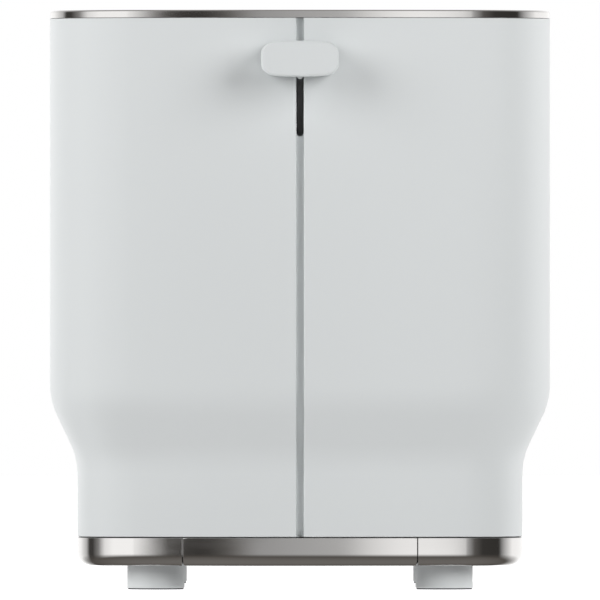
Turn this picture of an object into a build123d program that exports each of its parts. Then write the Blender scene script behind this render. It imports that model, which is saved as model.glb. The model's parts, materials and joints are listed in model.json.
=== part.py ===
from build123d import *
import os
from math import asin, cos, degrees, radians, sin, sqrt, tan

# A two-slot toaster. Millimetres, +Z up, lever end towards -Y, origin on the worktop under the middle of the
# overall box. Everything is drawn about the housing's own middle and moved by BODY_Y when it is written.

# ---- driving dimensions of the housing ----------------------------------------------------------------
HALF_W = 86.0          # half the width of the upper housing
HALF_L = 142.5         # half the length of the housing, on its centre line
TOTAL_H = 199.0
CORNER_R = 34.0        # plan corners of the upper housing
END_BOW_R = 300.0      # the two ends are bowed to this radius
WALL = 2.2             # housing wall
WAIST = 9.45           # how far the lower housing draws in all round
BLEND_R = 24.5         # radius of the two arcs of the waist
WAIST_LOW, WAIST_HIGH = 39.5, 70.4

FOOT_H = 8.2           # clear height under the base band
BAND_TOP = 17.85
BAND_T = 1.0
BAND_R = 4.6           # rolled lower edge of the base band
SHELL_LOW, SHELL_TOP = 18.15, 196.1
COVER_LOW = 196.2
COVER_T = 1.0
COVER_R = 1.1          # rolled edge of the top cover
FLANGE_LOW = 190.5     # lower end of the bread slots' turned-down flanges
FRAME_LIP_LOW, FRAME_TOP = 190.0, 197.9
EDGE_R = 0.4           # broken edges of the mouldings
SEAM_HALF = 1.35       # half the gap between the two housing halves
STRIP_HALF, STRIP_T = 8.0, 1.6
STRIP_NOTCH = 8.3      # half the gap left in the frames' lips for the strips
FIT_GAP = 0.1          # between pieces that lie against each other

# ---- lever --------------------------------------------------------------------------------------------
LEVER_TRAVEL = 19.5
KNOB_W, KNOB_H, KNOB_D = 26.6, 12.3, 14.8
KNOB_Z = 182.1
KNOB_OUT = 16.0        # how far the knob stands out from the housing's end
BLADE_T = 2.0
BLADE_LOW, BLADE_TOP = 175.2, 185.6
TONGUE_L, TONGUE_LOW, TONGUE_TOP = 7.0, BLADE_LOW + 1.6, BLADE_TOP - 1.6
DROP_FRONT, DROP_BACK = -128.0, -114.0   # the blade's leg down to the carriage
SLOT_W = 2.45
SLOT_LOW, SLOT_TOP = 155.6, 187.2

# ---- toasting chamber ---------------------------------------------------------------------------------
SLOT_X = 31.0          # middle of each bread slot
BREAD_W, BREAD_L, BREAD_R = 36.0, 146.0, 6.0
PLATE_Y, PLATE_T = 80.0, 1.0
CHAMBER_LOW, CHAMBER_TOP = 72.0, 190.0
CHAMBER_X = 62.0
HEATER_INNER_X, HEATER_OUTER_X = 5.0, 57.0
CARD_T = 0.8
CARD_LOW, CARD_TOP = 84.0, 184.0
TAB_LOW, TAB_HIGH = 128.0, 140.0
LINK_OFF, LINK_T = 2.2, 0.8
GUIDE_OFF = 16.5       # each guide's distance from the middle of its slot
GUIDE_PIVOT_Z, GUIDE_TOP_Z = 78.0, 185.5
GUIDE_WIRE_R, GUIDE_ROD_R = 0.8, 1.0
GUIDE_WIRES, GUIDE_PITCH, GUIDE_TOP_L = 8, 18.0, 132.0
RACK_TOP = 104.0       # bread rests here with the lever up
RACK_H, RACK_T = 6.8, 1.6
RACK_WIRES, RACK_PITCH, RACK_WIRE_R, RACK_WIRE_L = 12, 12.0, 1.0, 20.0
RIBBON_W, RIBBON_T, RIBBON_REACH = 2.2, 0.3, 73.0
RIBBON_ROWS, RIBBON_PITCH = 9, 11.0
LEG_X0, LEG_X1, LEG_FOOT = 44.0, 60.0, 11.0

# ---- carriage -----------------------------------------------------------------------------------------
ROD_X, ROD_Y, ROD_R = 15.0, -100.0, 3.0
ROD_CLEAR = 0.05
CARRIAGE_LOW, CARRIAGE_TOP = 104.0, 122.0
CARRIAGE_HALF_W = 22.0
CARRIAGE_FRONT, CARRIAGE_BACK = -106.0, -94.0
SHELF_HALF_W, SHELF_FRONT, SHELF_T = 9.0, -124.0, 2.0
WING_HALF_W, WING_T = 36.0, 2.0
EAR_X, EAR_T = 30.0, 3.0      # ears that close the main switch
BRACKET_LOW, BRACKET_TOP, BRACKET_T, BRACKET_X = 64.0, 187.0, 2.0, 21.0
BRACKET_FRONT, BRACKET_DROP = -108.0, 10.0
SPRING_R, SPRING_WIRE, SPRING_TURNS = 4.6, 1.0, 8
MAGNET_Y, MAGNET_TOP = -118.0, 84.0
CORE_HALF_W, CORE_HALF_D, LEG_HALF, WINDOW_W = 12.0, 5.0, 3.5, 5.0
COIL_HALF_W, COIL_HALF_D, COIL_LOW, COIL_TOP = 7.5, 9.0, 68.0, 82.0
ARMATURE_T, ARMATURE_GAP = 3.0, 0.1
SWITCH_X0, SWITCH_X1, SWITCH_TOP = 22.5, 32.5, 78.0

# ---- base and crumb tray ------------------------------------------------------------------------------
FLOOR_LOW, FLOOR_TOP = 9.3, 11.3
TRAY_HALF_W, TRAY_GAP = 40.5, 0.2
TRAY_LOW, TRAY_T, TRAY_TOP = 11.5, 0.6, 17.6
TRAY_BACK = 86.0
TRAY_SHELF_Z = 12.9    # shelf from the tray's front to its web
RIM_IN, LIP_IN = 13.9, 11.8   # the floor's rim and lip, measured in from the widest outline
RIM_TOP = 24.0
BAND_LIP = 9.0         # reach of the band's turned-in lip
FOOT_R, FOOT_X, FOOT_Y = 9.85, 49.6, 108.0
PAD_R, PAD_OUT, PAD_PLUG_T = 9.55, 0.4, 1.1
SCREW_R, HEAD_R, HEAD_T = 1.5, 2.9, 2.0
SCREW_CLEAR = 0.1
FRAME_SCREW_X, FRAME_SCREW_Y = 52.0, 86.0
VENT_W, VENT_L = 4.0, 24.0
VENT_X, VENT_Y = (52, 60), (16, 48)
POST_R, POST_PILOT_R = 3.0, 1.2
POST_X, POST_Y = 46.0, (-118.0, -97.0)
MAIN_BOARD_LOW, BOARD_T = 60.0, 1.6
FOOT_SCREW_Z = 2.3     # underside of the screw heads in the feet

# ---- controls, on the -X side -------------------------------------------------------------------------
BUTTON_Y, BUTTON_R, BUTTON_GAP = -94.0, 6.0, 0.2
BUTTON_TRAVEL = 1.0
BUTTONS = {"cancel": 94.0, "reheat": 110.0, "defrost": 126.0, "less": 146.0, "more": 176.0}
LIGHT_R, LIGHT_PITCH, LIGHTS, LIGHTS_Z = 1.0, 3.2, 5, 161.0
BOARD_X = -74.0        # outer face of the control board
BOARD_LOW, BOARD_TOP = 84.0, 187.0
BOARD_FRONT, BOARD_BACK = BUTTON_Y - 9, BUTTON_Y + 11
STEM_R, FLANGE_R, FLANGE_T = 2.0, 7.0, 0.9

# ---- cord entry ---------------------------------------------------------------------------------------
GLAND_Z, GLAND_R, GLAND_BORE_R, GLAND_OUT = 33.5, 6.5, 3.6, 3.0
GLAND_IN = 14.0        # how far the gland reaches inside the wall
COLLAR_R, COLLAR_T, COLLAR_IN = 8.5, 2.6, 5.4
TERMINAL_X, TERMINAL_Y, TERMINAL_Z = 6.0, 102.0, FLOOR_TOP + 6
LEAD_R, LEAD_BEND = 1.3, 5.0
LEAD_SIDE_X = 67.0     # the leads run between the reflectors and the housing

# ---- places worked out from the above -----------------------------------------------------------------
BODY_Y = (KNOB_OUT - GLAND_OUT) / 2
CORNER_X = HALF_W - CORNER_R
BOW_Y = HALF_L - END_BOW_R
CORNER_Y = BOW_Y + sqrt((END_BOW_R - CORNER_R) ** 2 - CORNER_X**2)
BOW_HALF = asin(CORNER_X / (END_BOW_R - CORNER_R))
END_Y = -HALF_L
LOW_END_Y = END_Y + WAIST
TRAY_FRONT = LOW_END_Y + 8.9
KNOB_BACK = END_Y - KNOB_OUT + KNOB_D
ARMATURE_LOW = MAGNET_TOP + LEVER_TRAVEL + ARMATURE_GAP
SHELF_LOW = ARMATURE_LOW + ARMATURE_T
BOARD_SURFACE = MAIN_BOARD_LOW + BOARD_T
CAP_IN = -HALF_W + 5.0
SWITCH_FACE_X = BOARD_X - 3.9
FRAME_INSET = COVER_T + 1.3


def waist_angle():
    """Steepest lean of the waist, from the two arcs and the height they have."""
    height = WAIST_HIGH - WAIST_LOW
    low, high = 0.0, radians(60)
    for _ in range(60):
        lean = (low + high) / 2
        drawn = 2 * BLEND_R * (1 - cos(lean)) + (height - 2 * BLEND_R * sin(lean)) * tan(lean)
        low, high = (lean, high) if drawn < WAIST else (low, lean)
    return low


LEAN = waist_angle()


# ---- shared shapes ------------------------------------------------------------------------------------
def box(x0, x1, y0, y1, z0, z1):
    """A block between two corners."""
    return Pos((x0 + x1) / 2, (y0 + y1) / 2, (z0 + z1) / 2) * Box(x1 - x0, y1 - y0, z1 - z0)


def rod(axis, centre, radius, length):
    """A round bar of that length along X, Y or Z, centred on a point."""
    turn = {"X": Rot(0, 90, 0), "Y": Rot(90, 0, 0), "Z": Rot(0, 0, 0)}[axis]
    return Pos(*centre) * turn * Cylinder(radius, length)


def both_sides(shape):
    """The shape and its mirror image across the toaster's middle plane."""
    return shape + mirror(shape, Plane.YZ)


def plan_face(inset, z=0.0):
    """The housing's plan outline drawn in by inset: straight sides, arc corners, bowed ends."""
    end_r, corner_r, half_w = END_BOW_R - inset, CORNER_R - inset, HALF_W - inset
    middle = (BOW_HALF + radians(90)) / 2
    join = (end_r * sin(BOW_HALF), BOW_Y + end_r * cos(BOW_HALF))
    corner = (CORNER_X + corner_r * sin(middle), CORNER_Y + corner_r * cos(middle))
    tip = (0, BOW_Y + end_r)
    side = (half_w, CORNER_Y)

    def at(point, sx, sy):
        return (sx * point[0], sy * point[1], z)

    edges = []
    for s in (1, -1):
        edges.append(ThreePointArc(at(join, -s, s), at(tip, 1, s), at(join, s, s)))
        edges.append(ThreePointArc(at(join, s, s), at(corner, s, s), at(side, s, s)))
        edges.append(Line(at(side, s, s), at(side, s, -s)))
        edges.append(ThreePointArc(at(side, s, -s), at(corner, s, -s), at(join, s, -s)))
    return Face(Wire(edges))


def prism(inset, z0, z1):
    """The plan outline, drawn in by inset, from z0 to z1."""
    return extrude(plan_face(inset, z0), amount=z1 - z0, dir=(0, 0, 1))


def section(edges):
    """A closed section in the XZ plane: x is minus the distance in from the housing's widest outline."""
    return Face(Wire(edges))


def polygon(points):
    """A straight-sided section from (inset, z) points."""
    corners = [(-inset, 0, z) for inset, z in points]
    return section([Line(a, b) for a, b in zip(corners, corners[1:] + corners[:1])])


def skin_points(depth):
    """Where the housing's profile turns, on a line depth inside its outer skin, from top to bottom."""
    upper, lower = BLEND_R - depth, BLEND_R + depth
    high = (BLEND_R - upper * cos(LEAN), WAIST_HIGH - upper * sin(LEAN))
    low = (WAIST - BLEND_R + lower * cos(LEAN), WAIST_LOW + lower * sin(LEAN))
    high_mid = (BLEND_R - upper * cos(LEAN / 2), WAIST_HIGH - upper * sin(LEAN / 2))
    low_mid = (WAIST - BLEND_R + lower * cos(LEAN / 2), WAIST_LOW + lower * sin(LEAN / 2))
    return high_mid, high, low, low_mid


def wall_section(outer, inner, z0, z1, edge_r=0.0):
    """The waisted wall's section, between two depths inside the outer skin, with broken outer edges."""
    def p(inset, z):
        return (-inset, 0, z)

    def waist(depth):
        high_mid, high, low, low_mid = skin_points(depth)
        return [
            ThreePointArc(p(depth, WAIST_HIGH), p(*high_mid), p(*high)),
            Line(p(*high), p(*low)),
            ThreePointArc(p(*low), p(*low_mid), p(WAIST + depth, WAIST_LOW)),
        ]

    r, k = edge_r, edge_r * (1 - sqrt(0.5))
    foot = WAIST + outer
    edges = [Line(p(outer, z1 - r), p(outer, WAIST_HIGH)), *waist(outer)]
    edges.append(Line(p(foot, WAIST_LOW), p(foot, z0 + r)))
    if r:
        edges.append(ThreePointArc(p(foot, z0 + r), p(foot + k, z0 + k), p(foot + r, z0)))
        edges.append(ThreePointArc(p(outer + r, z1), p(outer + k, z1 - k), p(outer, z1 - r)))
    edges.append(Line(p(foot + r, z0), p(WAIST + inner, z0)))
    edges += [Line(p(WAIST + inner, z0), p(WAIST + inner, WAIST_LOW)), *waist(inner)]
    edges += [Line(p(inner, WAIST_HIGH), p(inner, z1)), Line(p(inner, z1), p(outer + r, z1))]
    return section(edges)


def bow_piece(face, start, stop):
    """The section carried round the +Y end's bow, between two angles from the middle plane towards +X."""
    turned = revolve(Pos(END_BOW_R, 0, 0) * face, Axis.Z, revolution_arc=degrees(stop - start))
    return Pos(0, BOW_Y, 0) * Rot(0, 0, 90 - degrees(stop)) * turned


def half_ring(face, seam=0.0):
    """The section carried round the +X half of the outline, stopping seam short of the middle plane."""
    gap = asin(seam / END_BOW_R)
    corner = Pos(CORNER_X, CORNER_Y, 0) * revolve(
        Pos(CORNER_R, 0, 0) * face, Axis.Z, revolution_arc=90 - degrees(BOW_HALF)
    )
    end = corner + bow_piece(face, gap, BOW_HALF)
    side = extrude(Pos(HALF_W, 0, 0) * face, amount=CORNER_Y, both=True)
    return side + end + mirror(end, Plane.XZ)


def ring(face):
    """The section carried all the way round."""
    return both_sides(half_ring(face))


def slot_plan(cx, width, length, radius, z, cy=0.0):
    """A rounded slot's plan, lying in a horizontal plane."""
    return Pos(cx, cy, z) * RectangleRounded(width, length, radius)


def bread_slot(sx, grow, z):
    """A bread slot's plan at height z, grown all round."""
    return slot_plan(sx * SLOT_X, BREAD_W + 2 * grow, BREAD_L + 2 * grow, BREAD_R + grow, z)


# ---- housing ------------------------------------------------------------------------------------------
def right_shell():
    """The +X half of the housing, with its seam edges broken and half of the cord gland's hole."""
    shell = half_ring(wall_section(0, WALL, SHELL_LOW, SHELL_TOP, EDGE_R), SEAM_HALF)

    def on_seam_outside(edge):
        middle = edge @ 0.5
        outside = END_BOW_R - profile_inset(middle.Z) - 0.3
        reach = sqrt(middle.X**2 + (abs(middle.Y) - BOW_Y) ** 2)
        return middle.X < SEAM_HALF + 0.01 and reach > outside and SHELL_LOW + 0.2 < middle.Z < SHELL_TOP - 0.2

    shell = fillet([e for e in shell.edges() if on_seam_outside(e)], EDGE_R * 0.75)
    hole = rod("Y", (0, HALF_L, GLAND_Z), GLAND_R + 0.1, 40)
    return shell - hole


def profile_inset(z):
    """How far the outer skin is drawn in at height z."""
    high_mid, high, low, low_mid = skin_points(0)
    if z >= WAIST_HIGH:
        return 0.0
    if z >= high[1]:
        return BLEND_R - sqrt(BLEND_R**2 - (WAIST_HIGH - z) ** 2)
    if z >= low[1]:
        return high[0] + (high[1] - z) * tan(LEAN)
    if z >= WAIST_LOW:
        return WAIST - BLEND_R + sqrt(BLEND_R**2 - (z - WAIST_LOW) ** 2)
    return WAIST


def button_holes():
    """Holes for the buttons and light pipes through the -X wall."""
    holes = [rod("X", (-HALF_W, BUTTON_Y, z), BUTTON_R + BUTTON_GAP, 8) for z in BUTTONS.values()]
    holes += [rod("X", (-HALF_W, BUTTON_Y, z), LIGHT_R + 0.05, 8) for z in light_heights()]
    return holes


def light_heights():
    return [LIGHTS_Z + (i - (LIGHTS - 1) / 2) * LIGHT_PITCH for i in range(LIGHTS)]


def left_shell():
    shell = mirror(right_shell(), Plane.YZ)
    for hole in button_holes():
        shell -= hole
    return shell



def end_strip():
    """The backing strip behind the seam at the +Y end, following the waist."""
    half_angle = STRIP_HALF / END_BOW_R
    outer = WALL + FIT_GAP
    face = wall_section(outer, outer + STRIP_T, SHELL_LOW, COVER_LOW - FIT_GAP)
    return bow_piece(face, -half_angle, half_angle)


def front_strip():
    """The lever end's strip, with the long slot for the lever blade."""
    strip = mirror(end_strip(), Plane.XZ)
    slot = Plane.XZ * Pos(0, (SLOT_LOW + SLOT_TOP) / 2) * SlotOverall(SLOT_TOP - SLOT_LOW, SLOT_W, rotation=90)
    return strip - Pos(0, END_Y + 10, 0) * extrude(slot, amount=20, both=True)


def rear_strip():
    return end_strip() - rod("Y", (0, HALF_L, GLAND_Z), GLAND_R + 0.1, 60)


def top_cover():
    """Polished sheet cover: rolled outer edge, two bread slots with turned-down flanges."""
    outside = prism(0, COVER_LOW, TOTAL_H)
    top_edges = outside.faces().sort_by(Axis.Z)[-1].edges()
    cover = fillet(top_edges, COVER_R)
    cover -= prism(COVER_T + 1.2, COVER_LOW, TOTAL_H - COVER_T)
    for sx in (1, -1):
        cover += extrude(bread_slot(sx, COVER_T, FLANGE_LOW), amount=TOTAL_H - FLANGE_LOW - COVER_T / 2)
        cover -= extrude(bread_slot(sx, 0, FLANGE_LOW - 1), amount=20)
        rim = [
            e for e in cover.edges()
            if abs((e @ 0.5).Z - TOTAL_H) < 0.01
            and abs((e @ 0.5).X - sx * SLOT_X) < BREAD_W / 2 + 0.1
            and abs((e @ 0.5).Y) < BREAD_L / 2 + 0.1
        ]
        cover = fillet(rim, 0.6)
    return cover


def top_frame():
    """Moulded frame under the cover; its lip stands inside the housing halves."""
    outer, inner, top = WALL + FIT_GAP, WALL + FIT_GAP + 2, COVER_LOW + 0.1
    lip = ring(polygon([(outer, FRAME_LIP_LOW), (inner, FRAME_LIP_LOW), (inner, top), (outer, top)]))
    lip -= box(-STRIP_NOTCH, STRIP_NOTCH, -HALF_L, HALF_L, 180, COVER_LOW)
    frame = prism(FRAME_INSET, COVER_LOW, FRAME_TOP) + lip
    for sx in (1, -1):
        frame -= extrude(bread_slot(sx, COVER_T + 0.2, FRAME_LIP_LOW - 10), amount=30)
    return frame


# ---- base ---------------------------------------------------------------------------------------------
def band_section(thick, inner_reach):
    """The base band: upright wall, rolled lower edge and a lip turned in under the base."""
    outer, low = WAIST, FOOT_H
    bend = sqrt(0.5)

    def p(inset, z):
        return (-inset, 0, z)

    cx, cz = outer + BAND_R, low + BAND_R
    inner_r = BAND_R - thick
    return section([
        Line(p(outer, BAND_TOP), p(outer, cz)),
        ThreePointArc(p(outer, cz), p(cx - BAND_R * bend, cz - BAND_R * bend), p(cx, low)),
        Line(p(cx, low), p(inner_reach, low)),
        Line(p(inner_reach, low), p(inner_reach, low + thick)),
        Line(p(inner_reach, low + thick), p(cx, low + thick)),
        ThreePointArc(p(cx, low + thick), p(cx - inner_r * bend, cz - inner_r * bend), p(outer + thick, cz)),
        Line(p(outer + thick, cz), p(outer + thick, BAND_TOP)),
        Line(p(outer + thick, BAND_TOP), p(outer, BAND_TOP)),
    ])


def base_band():
    """Polished band round the foot of the housing, open where the crumb tray's front closes it."""
    band = ring(band_section(BAND_T, WAIST + BAND_LIP))
    return band - box(-TRAY_HALF_W, TRAY_HALF_W, END_Y - 5, END_Y + 40, 0, 40)


def crumb_tray_front():
    """The part of the band that comes out with the crumb tray."""
    half_angle = asin((TRAY_HALF_W - TRAY_GAP) / (END_BOW_R - WAIST))
    piece = mirror(bow_piece(band_section(BAND_T, WAIST + 5), -half_angle, half_angle), Plane.XZ)
    half = TRAY_HALF_W - 1
    web = box(-half, half, TRAY_FRONT - 0.7, TRAY_FRONT, TRAY_LOW, BAND_TOP - 0.4)
    shelf = box(-half, half, LOW_END_Y + 0.6, TRAY_FRONT, TRAY_SHELF_Z, TRAY_SHELF_Z + 1)
    return piece + web + (shelf & prism(WAIST + BAND_T / 2, TRAY_SHELF_Z, TRAY_SHELF_Z + 1))


def base_plate():
    """Moulded floor: rim inside the band, lip inside the housing, vents, posts and the crumb tray's mouth."""
    overlap = RIM_IN + 6
    rim = ring(polygon([
        (RIM_IN + 0.3, FLOOR_LOW), (overlap, FLOOR_LOW), (overlap, FLOOR_TOP), (RIM_IN, FLOOR_TOP),
        (RIM_IN, RIM_TOP), (LIP_IN, RIM_TOP), (LIP_IN, 18.0), (LIP_IN - 1.2, 18.0), (LIP_IN - 1.2, 13.0),
    ]))
    plate = prism(overlap - 1, FLOOR_LOW, FLOOR_TOP) + rim
    mouth_top = BAND_TOP + 0.1
    plate -= box(-TRAY_HALF_W, TRAY_HALF_W, END_Y, END_Y + 30, FLOOR_TOP, mouth_top)
    plate -= box(-TRAY_HALF_W, TRAY_HALF_W, END_Y, TRAY_FRONT - 0.9, 0, mouth_top)
    plate -= box(-STRIP_NOTCH, STRIP_NOTCH, -HALF_L, HALF_L, mouth_top, RIM_TOP + 1)
    for vent_x in VENT_X:
        for vent_y in VENT_Y:
            for x, y in four(vent_x, vent_y):
                plate -= extrude(slot_plan(x, VENT_W, VENT_L, VENT_W / 2 - 0.1, FLOOR_LOW - 1, y), amount=5)
    for x, y in board_posts():
        post_h = MAIN_BOARD_LOW - FLOOR_TOP
        plate += rod("Z", (x, y, FLOOR_TOP + post_h / 2), POST_R, post_h)
        plate -= rod("Z", (x, y, MAIN_BOARD_LOW), POST_PILOT_R, 16)
    for x, y in four(FRAME_SCREW_X, FRAME_SCREW_Y) + four(FOOT_X, FOOT_Y):
        plate -= rod("Z", (x, y, FLOOR_LOW), SCREW_R + SCREW_CLEAR, 10)
    return plate


def four(x, y):
    return [(sx * x, sy * y) for sx in (1, -1) for sy in (1, -1)]


def board_posts():
    return [(sx * POST_X, y) for sx in (1, -1) for y in POST_Y]


def crumb_tray():
    """Folded sheet tray that slides out under the chamber."""
    half = TRAY_HALF_W - 1
    inner, front, back = half - TRAY_T, TRAY_FRONT + TRAY_T, TRAY_BACK - TRAY_T
    tray = box(-half, half, TRAY_FRONT, TRAY_BACK, TRAY_LOW, TRAY_TOP)
    return tray - box(-inner, inner, front, back, TRAY_LOW + TRAY_T, TRAY_TOP + 1)


def foot(x, y):
    """Round foot with a screw boss, broken at its lower edge."""
    body = rod("Z", (x, y, (PAD_OUT + FLOOR_LOW) / 2), FOOT_R, FLOOR_LOW - PAD_OUT)
    body = chamfer(body.edges().sort_by(Axis.Z)[0], 0.25)
    body -= rod("Z", (x, y, 0), PAD_R - 0.4, 2 * (PAD_PLUG_T + 0.1))
    pocket_top = FOOT_SCREW_Z + HEAD_T + 0.1
    body -= rod("Z", (x, y, pocket_top / 2), HEAD_R + SCREW_CLEAR, pocket_top)
    return body - rod("Z", (x, y, FLOOR_LOW), SCREW_R + SCREW_CLEAR, 12)


def foot_pads():
    pads = []
    for x, y in four(FOOT_X, FOOT_Y):
        plug = rod("Z", (x, y, PAD_PLUG_T / 2), PAD_R - 0.5, PAD_PLUG_T)
        pads.append(rod("Z", (x, y, PAD_OUT / 2), PAD_R, PAD_OUT) + plug)
    return Compound(pads)


def screw(x, y, head_low, length):
    """Pan-head screw pointing up."""
    head = rod("Z", (x, y, head_low + HEAD_T / 2), HEAD_R, HEAD_T)
    return head + rod("Z", (x, y, head_low + HEAD_T + length / 2), SCREW_R, length)


def base_screws():
    screws = [screw(x, y, FOOT_SCREW_Z, 8) for x, y in four(FOOT_X, FOOT_Y)]
    screws += [screw(x, y, FLOOR_LOW - HEAD_T, 7) for x, y in four(FRAME_SCREW_X, FRAME_SCREW_Y)]
    return Compound(screws)


# ---- chamber ------------------------------------------------------------------------------------------
def heater_places():
    return {
        "outer_left": -HEATER_OUTER_X, "inner_left": -HEATER_INNER_X,
        "inner_right": HEATER_INNER_X, "outer_right": HEATER_OUTER_X,
    }


def guide_places():
    return {
        "left_outer": -SLOT_X - GUIDE_OFF, "left_inner": -SLOT_X + GUIDE_OFF,
        "right_inner": SLOT_X - GUIDE_OFF, "right_outer": SLOT_X + GUIDE_OFF,
    }


def chamber_plate(sy):
    """End plate of the chamber: two legs with foot flanges, slots for racks, cards and guide pivots."""
    near, far = PLATE_Y, PLATE_Y + PLATE_T
    plate = box(-CHAMBER_X, CHAMBER_X, near, far, CHAMBER_LOW, CHAMBER_TOP)
    plate += both_sides(box(LEG_X0, LEG_X1, near, far, FLOOR_TOP, CHAMBER_LOW))
    plate += both_sides(box(LEG_X0 + 2, LEG_X1 - 2, near, near + LEG_FOOT, FLOOR_TOP, FLOOR_TOP + PLATE_T))
    for sx in (1, -1):
        plate -= box(sx * SLOT_X - 2.2, sx * SLOT_X + 2.2, near - 1, far + 1, CHAMBER_LOW + 2, RACK_TOP + 4)
        plate -= rod("Z", (sx * FRAME_SCREW_X, FRAME_SCREW_Y, FLOOR_TOP), SCREW_R + SCREW_CLEAR, 6)
    for x in heater_places().values():
        plate -= box(x - 0.7, x + 0.7, near - 1, far + 1, TAB_LOW - 0.3, TAB_HIGH + 0.3)
    for x in guide_places().values():
        plate -= rod("Y", (x, PLATE_Y, GUIDE_PIVOT_Z), GUIDE_ROD_R + 0.15, 6)
    return plate if sy > 0 else mirror(plate, Plane.XZ)


def reflector(sx):
    """Bright side sheet with stiffening flanges that the end plates carry."""
    inner, outer = CHAMBER_X - 1.5, CHAMBER_X - 0.7
    length = PLATE_Y - 0.1
    sheet = box(inner, outer, -length, length, CHAMBER_LOW + 1, CHAMBER_TOP - 1)
    for z in (CHAMBER_LOW + 1, CHAMBER_TOP - 1.8):
        sheet += box(inner, inner + 8, -length, length, z, z + 0.8)
    return sheet if sx > 0 else mirror(sheet, Plane.YZ)


def heater_card(x):
    """Mica card with a locating tab through each end plate."""
    card = box(x - CARD_T / 2, x + CARD_T / 2, -PLATE_Y + 0.3, PLATE_Y - 0.3, CARD_LOW, CARD_TOP)
    return card + box(x - CARD_T / 2, x + CARD_T / 2, -PLATE_Y - 4, PLATE_Y + 4, TAB_LOW, TAB_HIGH)


def heater_ribbon(x):
    """Serpentine of flat heating ribbon on the side of a card that faces the bread."""
    towards = 1 if abs(x) < SLOT_X else -1
    side = towards if x > 0 else -towards
    near = x + side * CARD_T / 2
    x0, x1 = sorted((near, near + side * RIBBON_T))
    low = CARD_LOW + 5
    ribbon = box(x0, x1, -RIBBON_REACH, RIBBON_REACH, low, low + RIBBON_W)
    for i in range(1, RIBBON_ROWS):
        z = low + i * RIBBON_PITCH
        ribbon += box(x0, x1, -RIBBON_REACH, RIBBON_REACH, z, z + RIBBON_W)
        end = 1 if i % 2 else -1
        y0, y1 = sorted((end * RIBBON_REACH, end * (RIBBON_REACH - RIBBON_W)))
        ribbon += box(x0, x1, y0, y1, z - RIBBON_PITCH, z + RIBBON_W)
    return ribbon


def heater_links():
    """Flat bars that join the heater tabs behind the rear plate."""
    links = []
    for sx in (1, -1):
        x0, x1 = sorted((sx * (HEATER_INNER_X + CARD_T / 2), sx * (HEATER_OUTER_X - CARD_T / 2)))
        links.append(box(x0, x1, PLATE_Y + LINK_OFF, PLATE_Y + LINK_OFF + LINK_T, TAB_LOW + 3, TAB_HIGH - 3))
    return Compound(links)


def bread_guide(x):
    """Swinging wire grid: pivot rod, uprights and a top rod."""
    grid = rod("Y", (x, 0, GUIDE_PIVOT_Z), GUIDE_ROD_R, 2 * PLATE_Y + 6)
    grid += rod("Y", (x, 0, GUIDE_TOP_Z), GUIDE_ROD_R, GUIDE_TOP_L)
    for i in range(GUIDE_WIRES):
        y = (i - (GUIDE_WIRES - 1) / 2) * GUIDE_PITCH
        grid += rod("Z", (x, y, (GUIDE_PIVOT_Z + GUIDE_TOP_Z) / 2), GUIDE_WIRE_R, GUIDE_TOP_Z - GUIDE_PIVOT_Z)
    return grid


# ---- lever and carriage -------------------------------------------------------------------------------
def lever_knob():
    """Soft-cornered block with slightly bowed sides and a blind pocket for the blade."""
    w, h = KNOB_W / 2, KNOB_H / 2
    bow_w, bow_h = 0.35, 0.9
    outline = Wire([
        ThreePointArc((-w + bow_w, h - bow_h), (0, h), (w - bow_w, h - bow_h)),
        ThreePointArc((w - bow_w, h - bow_h), (w, 0), (w - bow_w, -h + bow_h)),
        ThreePointArc((w - bow_w, -h + bow_h), (0, -h), (-w + bow_w, -h + bow_h)),
        ThreePointArc((-w + bow_w, -h + bow_h), (-w, 0), (-w + bow_w, h - bow_h)),
    ])
    face = Face(outline)
    face = face.fillet_2d(3.9, face.vertices())
    knob = extrude(Plane.XZ * face, amount=KNOB_D, dir=(0, -1, 0))
    front = knob.faces().sort_by(Axis.Y)[0]
    knob = fillet(front.edges(), 1.1)
    knob = fillet(knob.faces().sort_by(Axis.Y)[-1].edges(), 0.6)
    knob = Pos(0, KNOB_BACK, KNOB_Z) * knob
    pocket = box(-BLADE_T / 2, BLADE_T / 2, KNOB_BACK - TONGUE_L, KNOB_BACK + 1, TONGUE_LOW, TONGUE_TOP)
    return knob - pocket


def lever_arm():
    """Blade from the knob through the slot, then down to the carriage shelf."""
    half, low = BLADE_T / 2, SHELF_LOW + SHELF_T
    blade = box(-half, half, KNOB_BACK, DROP_BACK - 4, BLADE_LOW, BLADE_TOP)
    blade = fillet(blade.edges().filter_by(Axis.Y), 0.95)
    blade += box(-half, half, KNOB_BACK - TONGUE_L, KNOB_BACK + 0.5, TONGUE_LOW, TONGUE_TOP)
    blade += box(-half, half, DROP_FRONT, DROP_BACK, low, BLADE_TOP - 1)
    return blade + box(-half, half, DROP_BACK, CARRIAGE_FRONT, low, CARRIAGE_TOP)


def carriage():
    """Block that runs on the two rods, with a shelf for the armature and wings that carry the racks."""
    body = box(-CARRIAGE_HALF_W, CARRIAGE_HALF_W, CARRIAGE_FRONT, CARRIAGE_BACK, CARRIAGE_LOW, CARRIAGE_TOP)
    body = fillet(body.edges().filter_by(Axis.Z), 2)
    body += box(-SHELF_HALF_W, SHELF_HALF_W, SHELF_FRONT, CARRIAGE_FRONT, SHELF_LOW, SHELF_LOW + SHELF_T)
    wing_back = CARRIAGE_BACK + WING_T
    body += box(-WING_HALF_W, WING_HALF_W, CARRIAGE_BACK, wing_back, CARRIAGE_LOW - 8, CARRIAGE_TOP - 4)
    ear = box(CARRIAGE_HALF_W, EAR_X, CARRIAGE_FRONT + 2, CARRIAGE_BACK, CARRIAGE_LOW, CARRIAGE_LOW + EAR_T)
    body += both_sides(ear)
    for sx in (1, -1):
        body -= rod("Z", (sx * ROD_X, ROD_Y, CARRIAGE_LOW), ROD_R + ROD_CLEAR, 60)
    return body


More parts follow.
